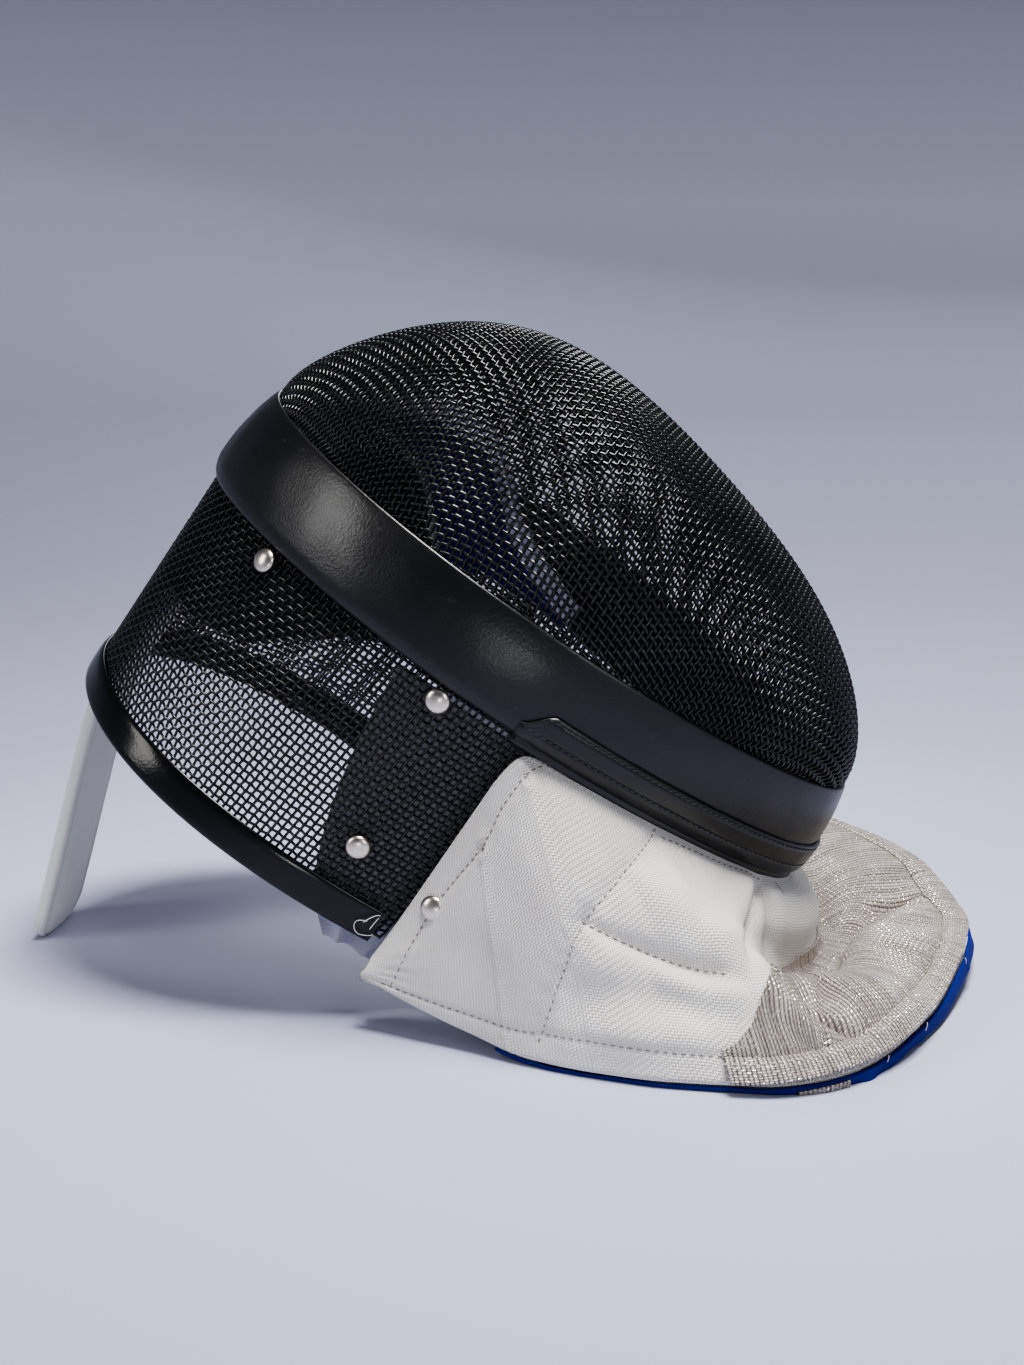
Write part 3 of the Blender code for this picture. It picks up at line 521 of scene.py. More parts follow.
def on_shell(angle, back, out):
    """Points at this distance outside the shell's outer surface, in the worn frame."""
    angle, back, out = np.broadcast_arrays(np.asarray(angle, float), np.asarray(back, float), out)
    around = surface(angle + 1e-3, back) - surface(angle - 1e-3, back)
    along = surface(angle, back + 1e-4) - surface(angle, back - 1e-4)
    normal = unit(np.cross(around, along))
    point = surface(angle, back)
    inwards = (normal * point * (0, 1, 1)).sum(-1) < 0
    normal = np.where(inwards[..., None], -normal, normal)
    return point + normal * out[..., None]


# Bib

def near_place(along):
    """The same place on the near half of the bib."""
    return 1 - np.abs(1 - along)


def side_of(along):
    return np.where(along < 1, -1, 1)


def bib_value(name, along):
    return smooth(near_place(along), column(BIB_ROWS, "along"), column(BIB_ROWS, name))


def bib_back(share):
    first = BAND_WIDTH + BIB_BEHIND_BAND
    return first + (SHELL_DEPTH - first) * share


def bib_top(along):
    side = side_of(along)
    angle = np.radians(bib_value("around", along))
    wanted = bib_back(bib_value("back", along))
    back = np.minimum(wanted, SHELL_DEPTH)
    beyond = np.stack([wanted - back, 0 * back, 0 * back], -1)
    return lay(on_shell(side * angle, back, bib_value("out", along) * BIB_THICKNESS) - beyond)


def bib_hem(along):
    side = side_of(along)
    far = side > 0
    forward = bib_value("forward", along) + far * bib_value("far_forward", along)
    lift = bib_value("lift", along) + far * bib_value("far_lift", along)
    chin = bib_top(np.array([1.0]))[0]
    return np.stack([
        chin[0] + BIB_LENGTH * forward,
        side * BIB_HALF_WIDTH * bib_value("side", along) + PACKED_SHIFT[1],
        BIB_THICKNESS * lift,
    ], -1)


def bib_base(along, down):
    """The bib's outer surface without its folds: straight at the wings, a roll under the chin."""
    along, down = np.broadcast_arrays(np.asarray(along, float), np.asarray(down, float))
    top, hem = bib_top(along), bib_hem(along)
    side = side_of(along)
    one = np.ones(along.shape)
    puff = (4 * down * (1 - down) * BIB_THICKNESS)[..., None] * np.stack([one, side, one], -1)
    straight = top + (hem - top) * down[..., None] + puff * BIB_PUFF
    throat = smooth(near_place(along), *THROAT_SHARE)[..., None]
    forward = smooth(down, column(THROAT_ROWS, "down"), column(THROAT_ROWS, "forward"))
    height = smooth(down, column(THROAT_ROWS, "down"), column(THROAT_ROWS, "height"))
    rolled = top + (hem - top) * forward[..., None]
    rolled[..., 2] = top[..., 2] * height + (hem[..., 2] - top[..., 2] * THROAT_ROWS[-1].height) * down**2
    return straight * (1 - throat) + rolled * throat


def fold_height(along, down):
    """Height of the folds over the base, each lower at its ends."""
    height = np.zeros(np.shape(along))
    for fold in FOLDS:
        apart, share = line_distance(along, down, (fold.along0, fold.down0), (fold.along1, fold.down1))
        taper = 1 - (2 * share - 1) ** 4 * FOLD_END_DROP
        height += fold.height * BIB_THICKNESS * taper * hump(apart, fold.width * BIB_THICKNESS)
    return height


def line_distance(along, down, start, end):
    """Distance in metres from one straight line on the bib, and the share of the way along it."""
    scale = np.array([BIB_LONGER, 1.0])
    start, end = np.array(start) * scale, np.array(end) * scale
    run = end - start
    place = np.stack([along, down], -1) * scale - start
    share = np.clip(place @ run / (run @ run), 0, 1)
    return np.linalg.norm(place - share[..., None] * run, axis=-1) * BIB_LENGTH, share


def seam_distance(along, down, seam):
    """Distance in metres from a sewn line, near or far, and the length along it."""
    return path_distance(near_place(along), down, seam)


def path_length(path):
    steps = np.diff(np.array(path), axis=0) * (BIB_LONGER, 1.0)
    return np.linalg.norm(steps, axis=1).sum() * BIB_LENGTH


def path_distance(along, down, path):
    """Distance in metres from a path on the bib, and the length along it."""
    nearest = np.full(np.shape(along), np.inf)
    run = np.zeros(np.shape(along))
    before = 0.0
    for start, end in zip(path, path[1:]):
        apart, share = line_distance(along, down, start, end)
        length = np.hypot((end[0] - start[0]) * BIB_LONGER, end[1] - start[1]) * BIB_LENGTH
        run = np.where(apart < nearest, before + share * length, run)
        nearest = np.minimum(nearest, apart)
        before += length
    return nearest, run


def front_seam(along):
    return smooth(near_place(along), column(FRONT_SEAM, "along"), column(FRONT_SEAM, "down"))


def rumple(along, down):
    """Soft waves and folds of worn cloth, and the puckers that each sewn line pulls."""
    u, v = along * BIB_LONGER * BIB_LENGTH, down * BIB_LENGTH
    waves = np.sin(95 * u + 60 * v + 1.3 * np.sin(70 * v)) * np.sin(120 * v - 40 * u + 1.0)
    height = WAVE_HEIGHT * waves * np.sin(np.pi * np.clip(down, 0, 1))
    from_hem = (1 - down) * BIB_LENGTH
    flat_hem = ease(from_hem / FLAT_AT_HEM)
    for crease in CREASES:
        apart, run = path_distance(along, down, crease.path)
        ends = 1 - CREASE_END_DROP * (2 * run / path_length(crease.path) - 1) ** 4
        height += crease.height * ends * flat_hem * hump(apart, crease.width)
    for seam, depth in SEAM_DEPTHS:
        apart, run = seam_distance(along, down, seam)
        height -= depth * hump(apart, SEAM_HALF_WIDTH)
        puckers = np.sin(run * 2 * np.pi / PUCKER_PITCH + 3 * np.sin(run * 90))
        height += PUCKER_HEIGHT * puckers * hump(apart, PUCKER_TO) * (1 - hump(apart, PUCKER_FROM))
    height -= HEM_LINE_DEPTH * hump(from_hem - HEM_WIDTH, HEM_LINE_WIDTH)
    for place in DIMPLES:
        apart = line_distance(near_place(along), down, place, (place[0] + 1e-4, place[1]))[0]
        height += DIMPLE_RIM_HEIGHT * hump(apart - DIMPLE_RIM_RADIUS, DIMPLE_RIM_WIDTH)
        height -= DIMPLE_DEPTH * hump(apart, DIMPLE_WIDTH)
    return height


def grid_normals(places):
    return unit(np.cross(np.gradient(places, axis=1), np.gradient(places, axis=0)))


def tucked(along, down):
    """How far the bib's top is pressed to the shell, where the lower strip covers it."""
    return ease((near_place(along) - TUCK_FIRST) / TUCK_FADE) * (1 - ease(down / TUCK_SHARE))


def tuck_way(along):
    """From the bib's top line down to its place under the strip."""
    angle = side_of(along) * np.radians(bib_value("around", along))
    back = np.minimum(bib_back(bib_value("back", along)), SHELL_DEPTH)
    free = bib_value("out", along) * BIB_THICKNESS
    return lay(on_shell(angle, back, TUCK_OUT)) - lay(on_shell(angle, back, free))


def bib_grid(alongs, downs):
    """Places and normals of the bib's outer surface. downs has one row for each along."""
    along = np.broadcast_to(alongs[:, None], downs.shape)
    base = bib_base(along, downs)
    normals = grid_normals(base)
    pressed = tucked(along, downs)[..., None]
    throat = smooth(near_place(along), *THROAT_SHARE)
    room = 1 - THROAT_FLATTER * throat * hump(downs - THROAT_BEND, THROAT_BEND_REACH)
    height = room * (fold_height(along, downs) + rumple(along, downs))
    places = base + normals * (1 - pressed) * height[..., None]
    places += tuck_way(alongs)[:, None] * pressed
    places[..., 2] = np.maximum(places[..., 2], (BIB_THICKNESS + CLEARANCE) * normals[..., 2])
    return places, grid_normals(places)


# Meshes

def flat_uv(places):
    """UVs in metres: lengths along the rows' middle and along each row."""
    u = length_along(places[:, places.shape[1] // 2])
    steps = np.linalg.norm(np.diff(places, axis=1), axis=2)
    v = np.concatenate([np.zeros((len(places), 1)), np.cumsum(steps, axis=1)], axis=1)
    return np.stack([np.broadcast_to(u[:, None], v.shape), v], -1)


def loft(name, loops, uv, finish, ring=False, sharp=40, inner=None):
    """Closed mesh through rows of closed sections. A ring joins its last section to its first, and
    the inner half of each section may have a finish of its own."""
    rows, count = loops.shape[:2]
    i, j = np.meshgrid(np.arange(rows if ring else rows - 1), np.arange(count), indexing="ij")
    after = (j + 1) % count
    quads = np.stack([i * count + j, i * count + after, (i + 1) * count + after, (i + 1) * count + j], -1)
    quads = quads.reshape(-1, 4)
    inside = (j >= count // 2).reshape(-1)
    if not ring:
        k = np.arange(count // 2 - 1)
        for first, turn in ((0, 1), ((rows - 1) * count, -1)):
            cap = np.stack([k, count - 1 - k, count - 2 - k, k + 1], -1) + first
            quads = np.concatenate([quads, cap[:, ::turn]])
            inside = np.concatenate([inside, np.zeros(len(cap), bool)])
    flat = uv.reshape(-1, 2)
    corners = ring_uv(uv, quads) if ring else flat[quads.reshape(-1)]
    made = mesh_from(name, loops.reshape(-1, 3), quads % (rows * count), corners, finish, sharp)
    if inner:
        made.data.materials.append(inner)
        made.data.polygons.foreach_set("material_index", inside.astype(np.int32))
    return made


def ring_uv(uv, quads):
    """UVs of a ring's corners, with a last row where it closes."""
    closed = np.concatenate([uv, uv[:1] + [[[uv[-1, 0, 0] - uv[-2, 0, 0] + uv[-1, 0, 0], 0]]]])
    return closed.reshape(-1, 2)[quads.reshape(-1)]


def mesh_from(name, points, quads, corner_uv, finish, sharp=40):
    """Mesh of quads whose faces point outwards."""
    a, b, c, d = (points[quads[:, k]] for k in range(4))
    volume = (np.cross(b - a, c - a) * a).sum() + (np.cross(c - a, d - a) * a).sum()
    corner_uv = corner_uv.reshape(-1, 4, 2)
    if volume < 0:
        quads, corner_uv = quads[:, ::-1], corner_uv[:, ::-1]
    mesh = bpy.data.meshes.new(name)
    mesh.from_pydata(points.tolist(), [], quads.tolist())
    layer = mesh.uv_layers.new(name="UVMap")
    layer.data.foreach_set("uv", corner_uv.reshape(-1).astype(np.float32))
    mesh.materials.append(finish)
    mesh.shade_smooth()
    if sharp:
        mesh.set_sharp_from_angle(angle=math.radians(sharp))
    return new_piece(name, mesh)


def new_piece(name, mesh):
    obj = bpy.data.objects.new(name, mesh)
    bpy.context.scene.collection.objects.link(obj)
    return obj


def give_finish(piece, faces, slot):
    """Gives one of a piece's finishes to those of its first faces that are marked."""
    slots = np.zeros(len(piece.data.polygons), np.int32)
    piece.data.polygons.foreach_get("material_index", slots)
    slots[:len(faces)][faces] = slot
    piece.data.polygons.foreach_set("material_index", slots)


def round_sections(outer, inner, uv):
    """Closed sections from the rows of two facing surfaces, with the same UVs on both."""
    return np.concatenate([outer, inner[:, ::-1]], axis=1), np.concatenate([uv, uv[:, ::-1]], axis=1)


def padded_sheet(name, places, normals, thickness, finish, lining=None):
    """Closed pad under its outer surface, with round edges on all sides."""
    reach = thickness / 2
    apart = []
    for axis in (0, 1):
        steps = np.linalg.norm(np.diff(places, axis=axis), axis=2)
        run = np.cumsum(steps, axis=axis)
        start = np.zeros_like(np.take(run, [0], axis=axis))
        run = np.concatenate([start, run], axis=axis)
        total = np.take(run, [-1], axis=axis)
        apart += [run, total - run]
    t = np.clip(1 - np.min(apart, axis=0) / reach, 0, 1)
    drop = (reach * EDGE_ROUNDNESS * (1 - np.sqrt(1 - t * t)))[..., None]
    outer = places - normals * drop
    under = places - normals * (np.broadcast_to(thickness, t.shape)[..., None] - drop)
    return loft(name, *round_sections(outer, under, flat_uv(places)), finish, sharp=0, inner=lining)


def with_edges(first, last, count, edge):
    """Even values between two limits, with close ones at both ends for a round edge."""
    near = EDGE_STEPS * edge
    inner = np.linspace(first + edge, last - edge, count)
    return np.concatenate([first + near, inner, (last - near)[::-1]])


# Node trees

def put(tree, kind, inputs=None, **settings):
    """Adds a node with its settings, and links or sets its inputs."""
    node = tree.nodes.new(kind)
    for key, value in settings.items():
        setattr(node, key, value)
    for key, value in (inputs or {}).items():
        if isinstance(value, bpy.types.NodeSocket):
            tree.links.new(value, node.inputs[key])
        else:
            node.inputs[key].default_value = value
    return node


def sockets(kind, *labels):
    return [(label, "NodeSocket" + kind) for label in labels]


def new_tree(name, kind, inputs, outputs):
    tree = bpy.data.node_groups.new(name, kind)
    for label, socket in inputs:
        tree.interface.new_socket(name=label, in_out="INPUT", socket_type=socket)
    for label, socket in outputs:
        tree.interface.new_socket(name=label, in_out="OUTPUT", socket_type=socket)
    return tree, tree.nodes.new("NodeGroupInput").outputs, tree.nodes.new("NodeGroupOutput")


def calc(tree, operation, *values):
    """The result of one Math node."""
    return put(tree, "ShaderNodeMath", dict(enumerate(values)), operation=operation).outputs[0]


def calc_vector(tree, operation, inputs):
    return put(tree, "ShaderNodeVectorMath", inputs, operation=operation).outputs[0]


def between(tree, value, first, last):
    """A mask that rises from 0 to 1 between two values."""
    return put(tree, "ShaderNodeMapRange", {"Value": value, "From Min": first, "From Max": last}).outputs[0]


def put_noise(tree, place, scale, detail, roughness=0.5):
    return put(tree, "ShaderNodeTexNoise", {
        "Vector": place, "Scale": scale, "Detail": detail, "Roughness": roughness,
    }).outputs


def give(tree, output, **results):
    for label, result in results.items():
        tree.links.new(result, output.inputs[label])


def finished(tree, geometry, finish, output):
    smooth_mesh = put(tree, "GeometryNodeSetShadeSmooth", {"Geometry": geometry})
    real = put(tree, "GeometryNodeRealizeInstances", {"Geometry": smooth_mesh.outputs[0]})
    made = put(tree, "GeometryNodeSetMaterial", {"Geometry": real.outputs[0], "Material": finish})
    tree.links.new(made.outputs[0], output.inputs[0])


def wire_tree():
    """Wires along a mesh's edges, bent to and fro where they cross by its wave and way."""
    tree, given, output = new_tree(
        "crimped wires", "GeometryNodeTree",
        sockets("Geometry", "Lines") + sockets("Float", "Radius", "Crimp") + sockets("Int", "Sides")
        + sockets("Material", "Finish"),
        sockets("Geometry", "Geometry"),
    )
    way = put(tree, "GeometryNodeInputNamedAttribute", {"Name": "way"}, data_type="FLOAT_VECTOR").outputs[0]
    wave = put(tree, "GeometryNodeInputNamedAttribute", {"Name": "wave"}, data_type="FLOAT").outputs[0]
    offset = calc_vector(tree, "SCALE", {0: way, "Scale": calc(tree, "MULTIPLY", wave, given["Crimp"])})
    bent = put(tree, "GeometryNodeSetPosition", {"Geometry": given["Lines"], "Offset": offset})
    curve = put(tree, "GeometryNodeMeshToCurve", {"Mesh": bent.outputs[0]})
    circle = put(tree, "GeometryNodeCurvePrimitiveCircle", {
        "Resolution": given["Sides"], "Radius": given["Radius"],
    })
    tube = put(tree, "GeometryNodeCurveToMesh", {
        "Curve": curve.outputs[0], "Profile Curve": circle.outputs[0], "Fill Caps": True,
    })
    finished(tree, tube.outputs[0], given["Finish"], output)
    return tree


def stitch_tree():
    """Short rounded threads set one after another along a mesh's edges."""
    tree, given, output = new_tree(
        "row of stitches", "GeometryNodeTree",
        sockets("Geometry", "Lines") + sockets("Float", "Pitch", "Length", "Thread") + sockets("Int", "Seed")
        + sockets("Material", "Finish"),
        sockets("Geometry", "Geometry"),
    )
    curve = put(tree, "GeometryNodeMeshToCurve", {"Mesh": given["Lines"]})
    spaced = put(tree, "GeometryNodeResampleCurve", {
        "Curve": curve.outputs[0], "Length": given["Pitch"],
    }, mode="LENGTH")
    grain = put(tree, "GeometryNodeMeshUVSphere", {"Segments": 6, "Rings": 4, "Radius": 0.5})
    turned = put(tree, "FunctionNodeAlignRotationToVector", {
        "Vector": tree.nodes.new("GeometryNodeInputTangent").outputs[0],
    }, axis="Z")
    shortest, longest = STITCH_UNEVEN
    uneven = put(tree, "FunctionNodeRandomValue", {2: shortest, 3: longest, "Seed": given["Seed"]})
    length = calc(tree, "MULTIPLY", given["Length"], uneven.outputs[1])
    size = put(tree, "ShaderNodeCombineXYZ", {0: given["Thread"], 1: given["Thread"], 2: length})
    threads = put(tree, "GeometryNodeInstanceOnPoints", {
        "Points": spaced.outputs[0], "Instance": grain.outputs[0],
        "Rotation": turned.outputs[0], "Scale": size.outputs[0],
    })
    finished(tree, threads.outputs[0], given["Finish"], output)
    return tree


def cap_tree():
    """One cap on each point of a mesh, standing along its way."""
    tree, given, output = new_tree(
        "caps on points", "GeometryNodeTree",
        sockets("Geometry", "Points") + sockets("Object", "Cap") + sockets("Material", "Finish"),
        sockets("Geometry", "Geometry"),
    )
    way = put(tree, "GeometryNodeInputNamedAttribute", {"Name": "way"}, data_type="FLOAT_VECTOR")
    turned = put(tree, "FunctionNodeAlignRotationToVector", {"Vector": way.outputs[0]}, axis="Z")
    cap = put(tree, "GeometryNodeObjectInfo", {"Object": given["Cap"]})
    caps = put(tree, "GeometryNodeInstanceOnPoints", {
        "Points": given["Points"], "Instance": cap.outputs["Geometry"], "Rotation": turned.outputs[0],
    })
    finished(tree, caps.outputs[0], given["Finish"], output)
    return tree


def lines_mesh(name, lines, ways=None, waves=None):
    """Mesh of edges only, one chain for each line."""
    mesh = bpy.data.meshes.new(name)
    edges, first = [], 0
    for line in lines:
        edges += [(first + k, first + k + 1) for k in range(len(line) - 1)]
        first += len(line)
    mesh.from_pydata(np.concatenate(lines).tolist(), edges, [])
    if ways is not None:
        mesh.attributes.new("way", "FLOAT_VECTOR", "POINT").data.foreach_set(
            "vector", np.concatenate(ways).reshape(-1).astype(np.float32))
    if waves is not None:
        mesh.attributes.new("wave", "FLOAT", "POINT").data.foreach_set(
            "value", np.concatenate(waves).astype(np.float32))
    return mesh


def bake(name, mesh, tree, **values):
    """Runs a tree on a mesh and keeps the result as a plain mesh."""
    source = new_piece(name + "_source", mesh)
    modifier = source.modifiers.new("tree", "NODES")
    modifier.node_group = tree
    for item in tree.interface.items_tree:
        if item.in_out == "INPUT" and item.name in values:
            modifier[item.identifier] = values[item.name]
    graph = bpy.context.evaluated_depsgraph_get()
    made = bpy.data.meshes.new_from_object(source.evaluated_get(graph), depsgraph=graph)
    made.name = name
    bpy.data.objects.remove(source, do_unlink=True)
    return new_piece(name, made)


def sew(name, lines, sizes, thread, stitches):
    return bake(name, lines_mesh(name, lines), stitches, Pitch=sizes.pitch, Length=sizes.length,
                Thread=sizes.thread, Seed=sizes.seed, Finish=thread)


# Shader groups

# Noise scales are in cycles a metre. Limits are where a mask starts to rise from 0 and where it reaches 1.
THREAD_DRIFT_SCALE = 260.0
SOIL_SCALE = 26.0
SOIL_LIMITS = (0.35, 0.7)
STREAKS_ALONG = 55.0
STREAK_LIMITS = (0.35, 0.62)
GLINT_LIMITS = (0.64, 0.70)
CROSSING_LIMITS = (-0.25, 0.25)
SWELL_SCALE = 28.0
SWELL_HEIGHT = 2.2
WEAR_AND_SHEEN_STRETCH = (3.0, 1.0, 9.0)
WEAR_AND_SHEEN_LIMITS = (0.60, 0.78)


def cloth_group():
    """Plain weave from a UV in metres: its height, the gaps between its threads as a mask for painted shade,
    soft soiling, streaks of darker threads, and glints of bare metal ones. Threads is their number in a
    metre, Rib how much further apart they are along the ribs, and Ribbed how far the gaps stay open across
    them."""
    tree, given, output = new_tree(
        "plain weave", "ShaderNodeTree",
        sockets("Vector", "UV") + sockets("Float", "Threads", "Rib", "Unevenness", "Gap", "Ribbed"),
        sockets("Float", "Height", "Gaps", "Soil", "Streaks", "Glints"),
    )
    uv, threads = given["UV"], given["Threads"]
    noise = put_noise(tree, uv, THREAD_DRIFT_SCALE, 2.0)["Color"]
    centred = calc_vector(tree, "SUBTRACT", {0: noise, 1: (0.5, 0.5, 0.5)})
    moved = calc_vector(tree, "SCALE", {0: centred, "Scale": given["Unevenness"]})
    place = calc_vector(tree, "ADD", {0: uv, 1: moved})
    parts = put(tree, "ShaderNodeSeparateXYZ", {0: place}).outputs
    turns = calc(tree, "MULTIPLY", threads, math.pi)
    ribs = calc(tree, "MULTIPLY", turns, given["Rib"])
    angles = [calc(tree, "MULTIPLY", part, rate) for part, rate in zip(parts, (ribs, turns))]
    waves = [calc(tree, "SINE", angle) for angle in angles]
    first, last = CROSSING_LIMITS
    over = put(tree, "ShaderNodeMapRange", {
        "Value": calc(tree, "MULTIPLY", *waves), "From Min": first, "From Max": last,
    }, interpolation_type="SMOOTHSTEP")
    tall = [calc(tree, "ABSOLUTE", wave) for wave in waves]
    height = put(tree, "ShaderNodeMix", {"Factor": over.outputs[0], 2: tall[0], 3: tall[1]}).outputs[0]
    cross = blend_values(tree, tall[1], given["Ribbed"], 1.0)
    gaps = between(tree, calc(tree, "MINIMUM", tall[0], cross), 0.0, given["Gap"])
    soil = between(tree, put_noise(tree, uv, SOIL_SCALE, 5.0, 0.6)["Fac"], *SOIL_LIMITS)
    stretch = put(tree, "ShaderNodeCombineXYZ", {"X": threads, "Y": STREAKS_ALONG}).outputs[0]
    drawn = calc_vector(tree, "MULTIPLY", {0: uv, 1: stretch})
    streaks = between(tree, put_noise(tree, drawn, 0.5, 2.0)["Fac"], *STREAK_LIMITS)
    glints = between(tree, put_noise(tree, uv, threads, 0.0)["Fac"], *GLINT_LIMITS)
    give(tree, output, Height=height, Gaps=gaps, Soil=soil, Streaks=streaks, Glints=glints)
    return tree


def grain_group():
    """Leather grain: pebbles and broad swells as a height, a mask of scuffs and painted sheen, and a soft
    cloud.
    """
    tree, given, output = new_tree(
        "leather grain", "ShaderNodeTree",
        sockets("Vector", "Vector") + sockets("Float", "Grain", "Scuffs"),
        sockets("Float", "Height", "Scuff", "Cloud"),
    )
    pebbles = put(tree, "ShaderNodeTexVoronoi", {
        "Vector": given["Vector"], "Scale": given["Grain"],
    }, feature="SMOOTH_F1")
    cloud = put_noise(tree, given["Vector"], SWELL_SCALE, 4.0)["Fac"]
    height = calc(tree, "MULTIPLY_ADD", cloud, SWELL_HEIGHT, pebbles.outputs["Distance"])
    stretched = put(tree, "ShaderNodeMapping", {"Vector": given["Vector"], "Scale": WEAR_AND_SHEEN_STRETCH}).outputs[0]
    worn_and_sheen = between(tree, put_noise(tree, stretched, given["Scuffs"], 6.0, 0.7)["Fac"], *WEAR_AND_SHEEN_LIMITS)
    give(tree, output, Height=height, Scuff=worn_and_sheen, Cloud=cloud)
    return tree


# Finishes

CLOTH_UNEVENNESS = 0.00035
SOILED = (0.90, 0.88, 0.84)
STREAK_SHADE = (0.58, 0.56, 0.54, 1)
GLINT_METALLIC = (0.3, 0.9)
GLINT_ROUGHNESS = (0.42, 0.22)
LEATHER_GRAIN = 900.0
LEATHER_WEAR_AND_SHEEN_SCALE = 40.0
METAL_SCALE = 420.0
METAL_WEAR_LIMITS = (0.52, 0.66)
FIBRE_SCALE = 900.0
FIBRE_DARKER = 0.75


def new_material(name, **values):
    """A material and its Principled shader, with plain values on its sockets."""
    made = bpy.data.materials.new(name)
    made.use_nodes = True
    tree = made.node_tree
    shader = tree.nodes["Principled BSDF"]
    for key, value in values.items():
        socket = shader.inputs[key.replace("_", " ").title().replace("Ior", "IOR")]
        socket.default_value = value
    return made, tree, shader


def blend_colours(tree, factor, low, high):
    mix = put(tree, "ShaderNodeMix", {"Factor": factor}, data_type="RGBA")
    for socket, value in ((mix.inputs[6], low), (mix.inputs[7], high)):
        if isinstance(value, bpy.types.NodeSocket):
            tree.links.new(value, socket)
        else:
            socket.default_value = (*value, 1.0)
    return mix.outputs[2]


def blend_values(tree, factor, low, high):
    return put(tree, "ShaderNodeMapRange", {"Value": factor, "To Min": low, "To Max": high}).outputs[0]


def bumped(tree, shader, height, distance):
    bump = put(tree, "ShaderNodeBump", {"Height": height, "Distance": distance, "Strength": 1.0})
    tree.links.new(bump.outputs[0], shader.inputs["Normal"])


def cloth_finish(name, weave, colour, gap_shade_colour, threads=900.0, rib=1.0, depth=0.0002, gap=0.45, ribbed=0.0,
                 glint=None, **values):
    """Cloth coloured on its threads, with painted shade between them. With a glint it has bare metal in it.
    """
    made, tree, shader = new_material(name, **values)
    cloth = put(tree, "ShaderNodeGroup", node_tree=weave)
    tree.links.new(put(tree, "ShaderNodeUVMap").outputs[0], cloth.inputs["UV"])
    for key, value in (("Threads", threads), ("Rib", rib), ("Unevenness", CLOTH_UNEVENNESS), ("Gap", gap),
                       ("Ribbed", ribbed)):
        cloth.inputs[key].default_value = value
    masks = cloth.outputs
    dull = tuple(share * value for share, value in zip(SOILED, colour))
    soiled = blend_colours(tree, masks["Soil"], colour, dull)
    # Painted shade: the gap colour darkens the cloth between its threads.
    shade = blend_colours(tree, masks["Gaps"], gap_shade_colour, soiled)
    if glint:
        darker = put(tree, "ShaderNodeMix", {
            "Factor": masks["Streaks"], 6: shade, 7: STREAK_SHADE,
        }, data_type="RGBA", blend_type="MULTIPLY")
        shade = blend_colours(tree, masks["Glints"], darker.outputs[2], glint)
        tree.links.new(blend_values(tree, masks["Glints"], *GLINT_METALLIC), shader.inputs["Metallic"])
        tree.links.new(blend_values(tree, masks["Glints"], *GLINT_ROUGHNESS), shader.inputs["Roughness"])
    tree.links.new(shade, shader.inputs["Base Color"])
    bumped(tree, shader, masks["Height"], depth)
    return made


def object_place(tree):
    return put(tree, "ShaderNodeTexCoord").outputs["Object"]


def leather_finish(name, grain, colour, worn_and_sheen_colour, roughness, depth, **values):
    made, tree, shader = new_material(name, **values)
    skin = put(tree, "ShaderNodeGroup", node_tree=grain)
    tree.links.new(object_place(tree), skin.inputs["Vector"])
    skin.inputs["Grain"].default_value = LEATHER_GRAIN
    skin.inputs["Scuffs"].default_value = LEATHER_WEAR_AND_SHEEN_SCALE
    # Scuffs and painted sheen: lighter streaks on the black pieces paint sheen, darker ones on the cream
    # pieces are wear.
    tree.links.new(blend_colours(tree, skin.outputs["Scuff"], colour, worn_and_sheen_colour), shader.inputs["Base Color"])
    tree.links.new(blend_values(tree, skin.outputs["Cloud"], *roughness), shader.inputs["Roughness"])
    bumped(tree, shader, skin.outputs["Height"], depth)
    return made


def metal_finish(name, colour, worn, roughness, **values):
    made, tree, shader = new_material(name, **values)
    noise = put_noise(tree, object_place(tree), METAL_SCALE, 3.0)["Fac"]
    wear = between(tree, noise, *METAL_WEAR_LIMITS)
    tree.links.new(blend_colours(tree, wear, colour, worn), shader.inputs["Base Color"])
    tree.links.new(blend_values(tree, noise, *roughness), shader.inputs["Roughness"])
    return made


def thread_finish(name, colour, roughness):
    made, tree, shader = new_material(name, roughness=roughness)
    noise = put_noise(tree, object_place(tree), FIBRE_SCALE, 2.0)["Fac"]
    dark = tuple(FIBRE_DARKER * value for value in colour)
    tree.links.new(blend_colours(tree, noise, dark, colour), shader.inputs["Base Color"])
    return made


# Woven wire

def dome_level(points):
    """Zero on the dome and on the straight skirt behind it, positive outside."""
    x, y, z = np.moveaxis(points, -1, 0)
    c = np.clip(z / SHELL_HALF_HEIGHT, -1.2, 1.2)
    row = STATIONS[0]
    middle = DOME_DEPTH * sum(share * c**power for power, share in enumerate(DOME_SHAPE))
    width = SHELL_HALF_WIDTH * (1 + row.crown * c - row.taper * c * c)
    forward = np.maximum(x - SHELL_DEPTH * row.bow * np.maximum(0, 1 - c * c), 0)
    q = DOME_SQUARENESS
    around = ((forward / middle) ** q + (np.abs(y) / width) ** q + 1e-30) ** (2 / q)
    return around + c * c - 1


def dome_way(points, small=1e-6):
    rises = [dome_level(points + step) - dome_level(points - step) for step in np.eye(3) * small]
    return np.stack(rises, -1) / (2 * small)


def onto_dome(points, rounds=6):
    for _ in range(rounds):
        way = dome_way(points)
        points = points - way * (dome_level(points) / np.maximum((way * way).sum(-1), 1e-12))[..., None]
    return points


def walk_dome(start, way, count):
    """Points one pitch apart along the dome, straight ahead."""
    points = [start]
    for _ in range(count):
        here = points[-1]
        ahead = onto_dome((here + unit(np.array(way)) * WIRE_PITCH)[None])[0]
        for _ in range(3):
            ahead = onto_dome((here + unit(ahead - here) * WIRE_PITCH)[None])[0]
        way = ahead - here
        points.append(ahead)
    return np.array(points)


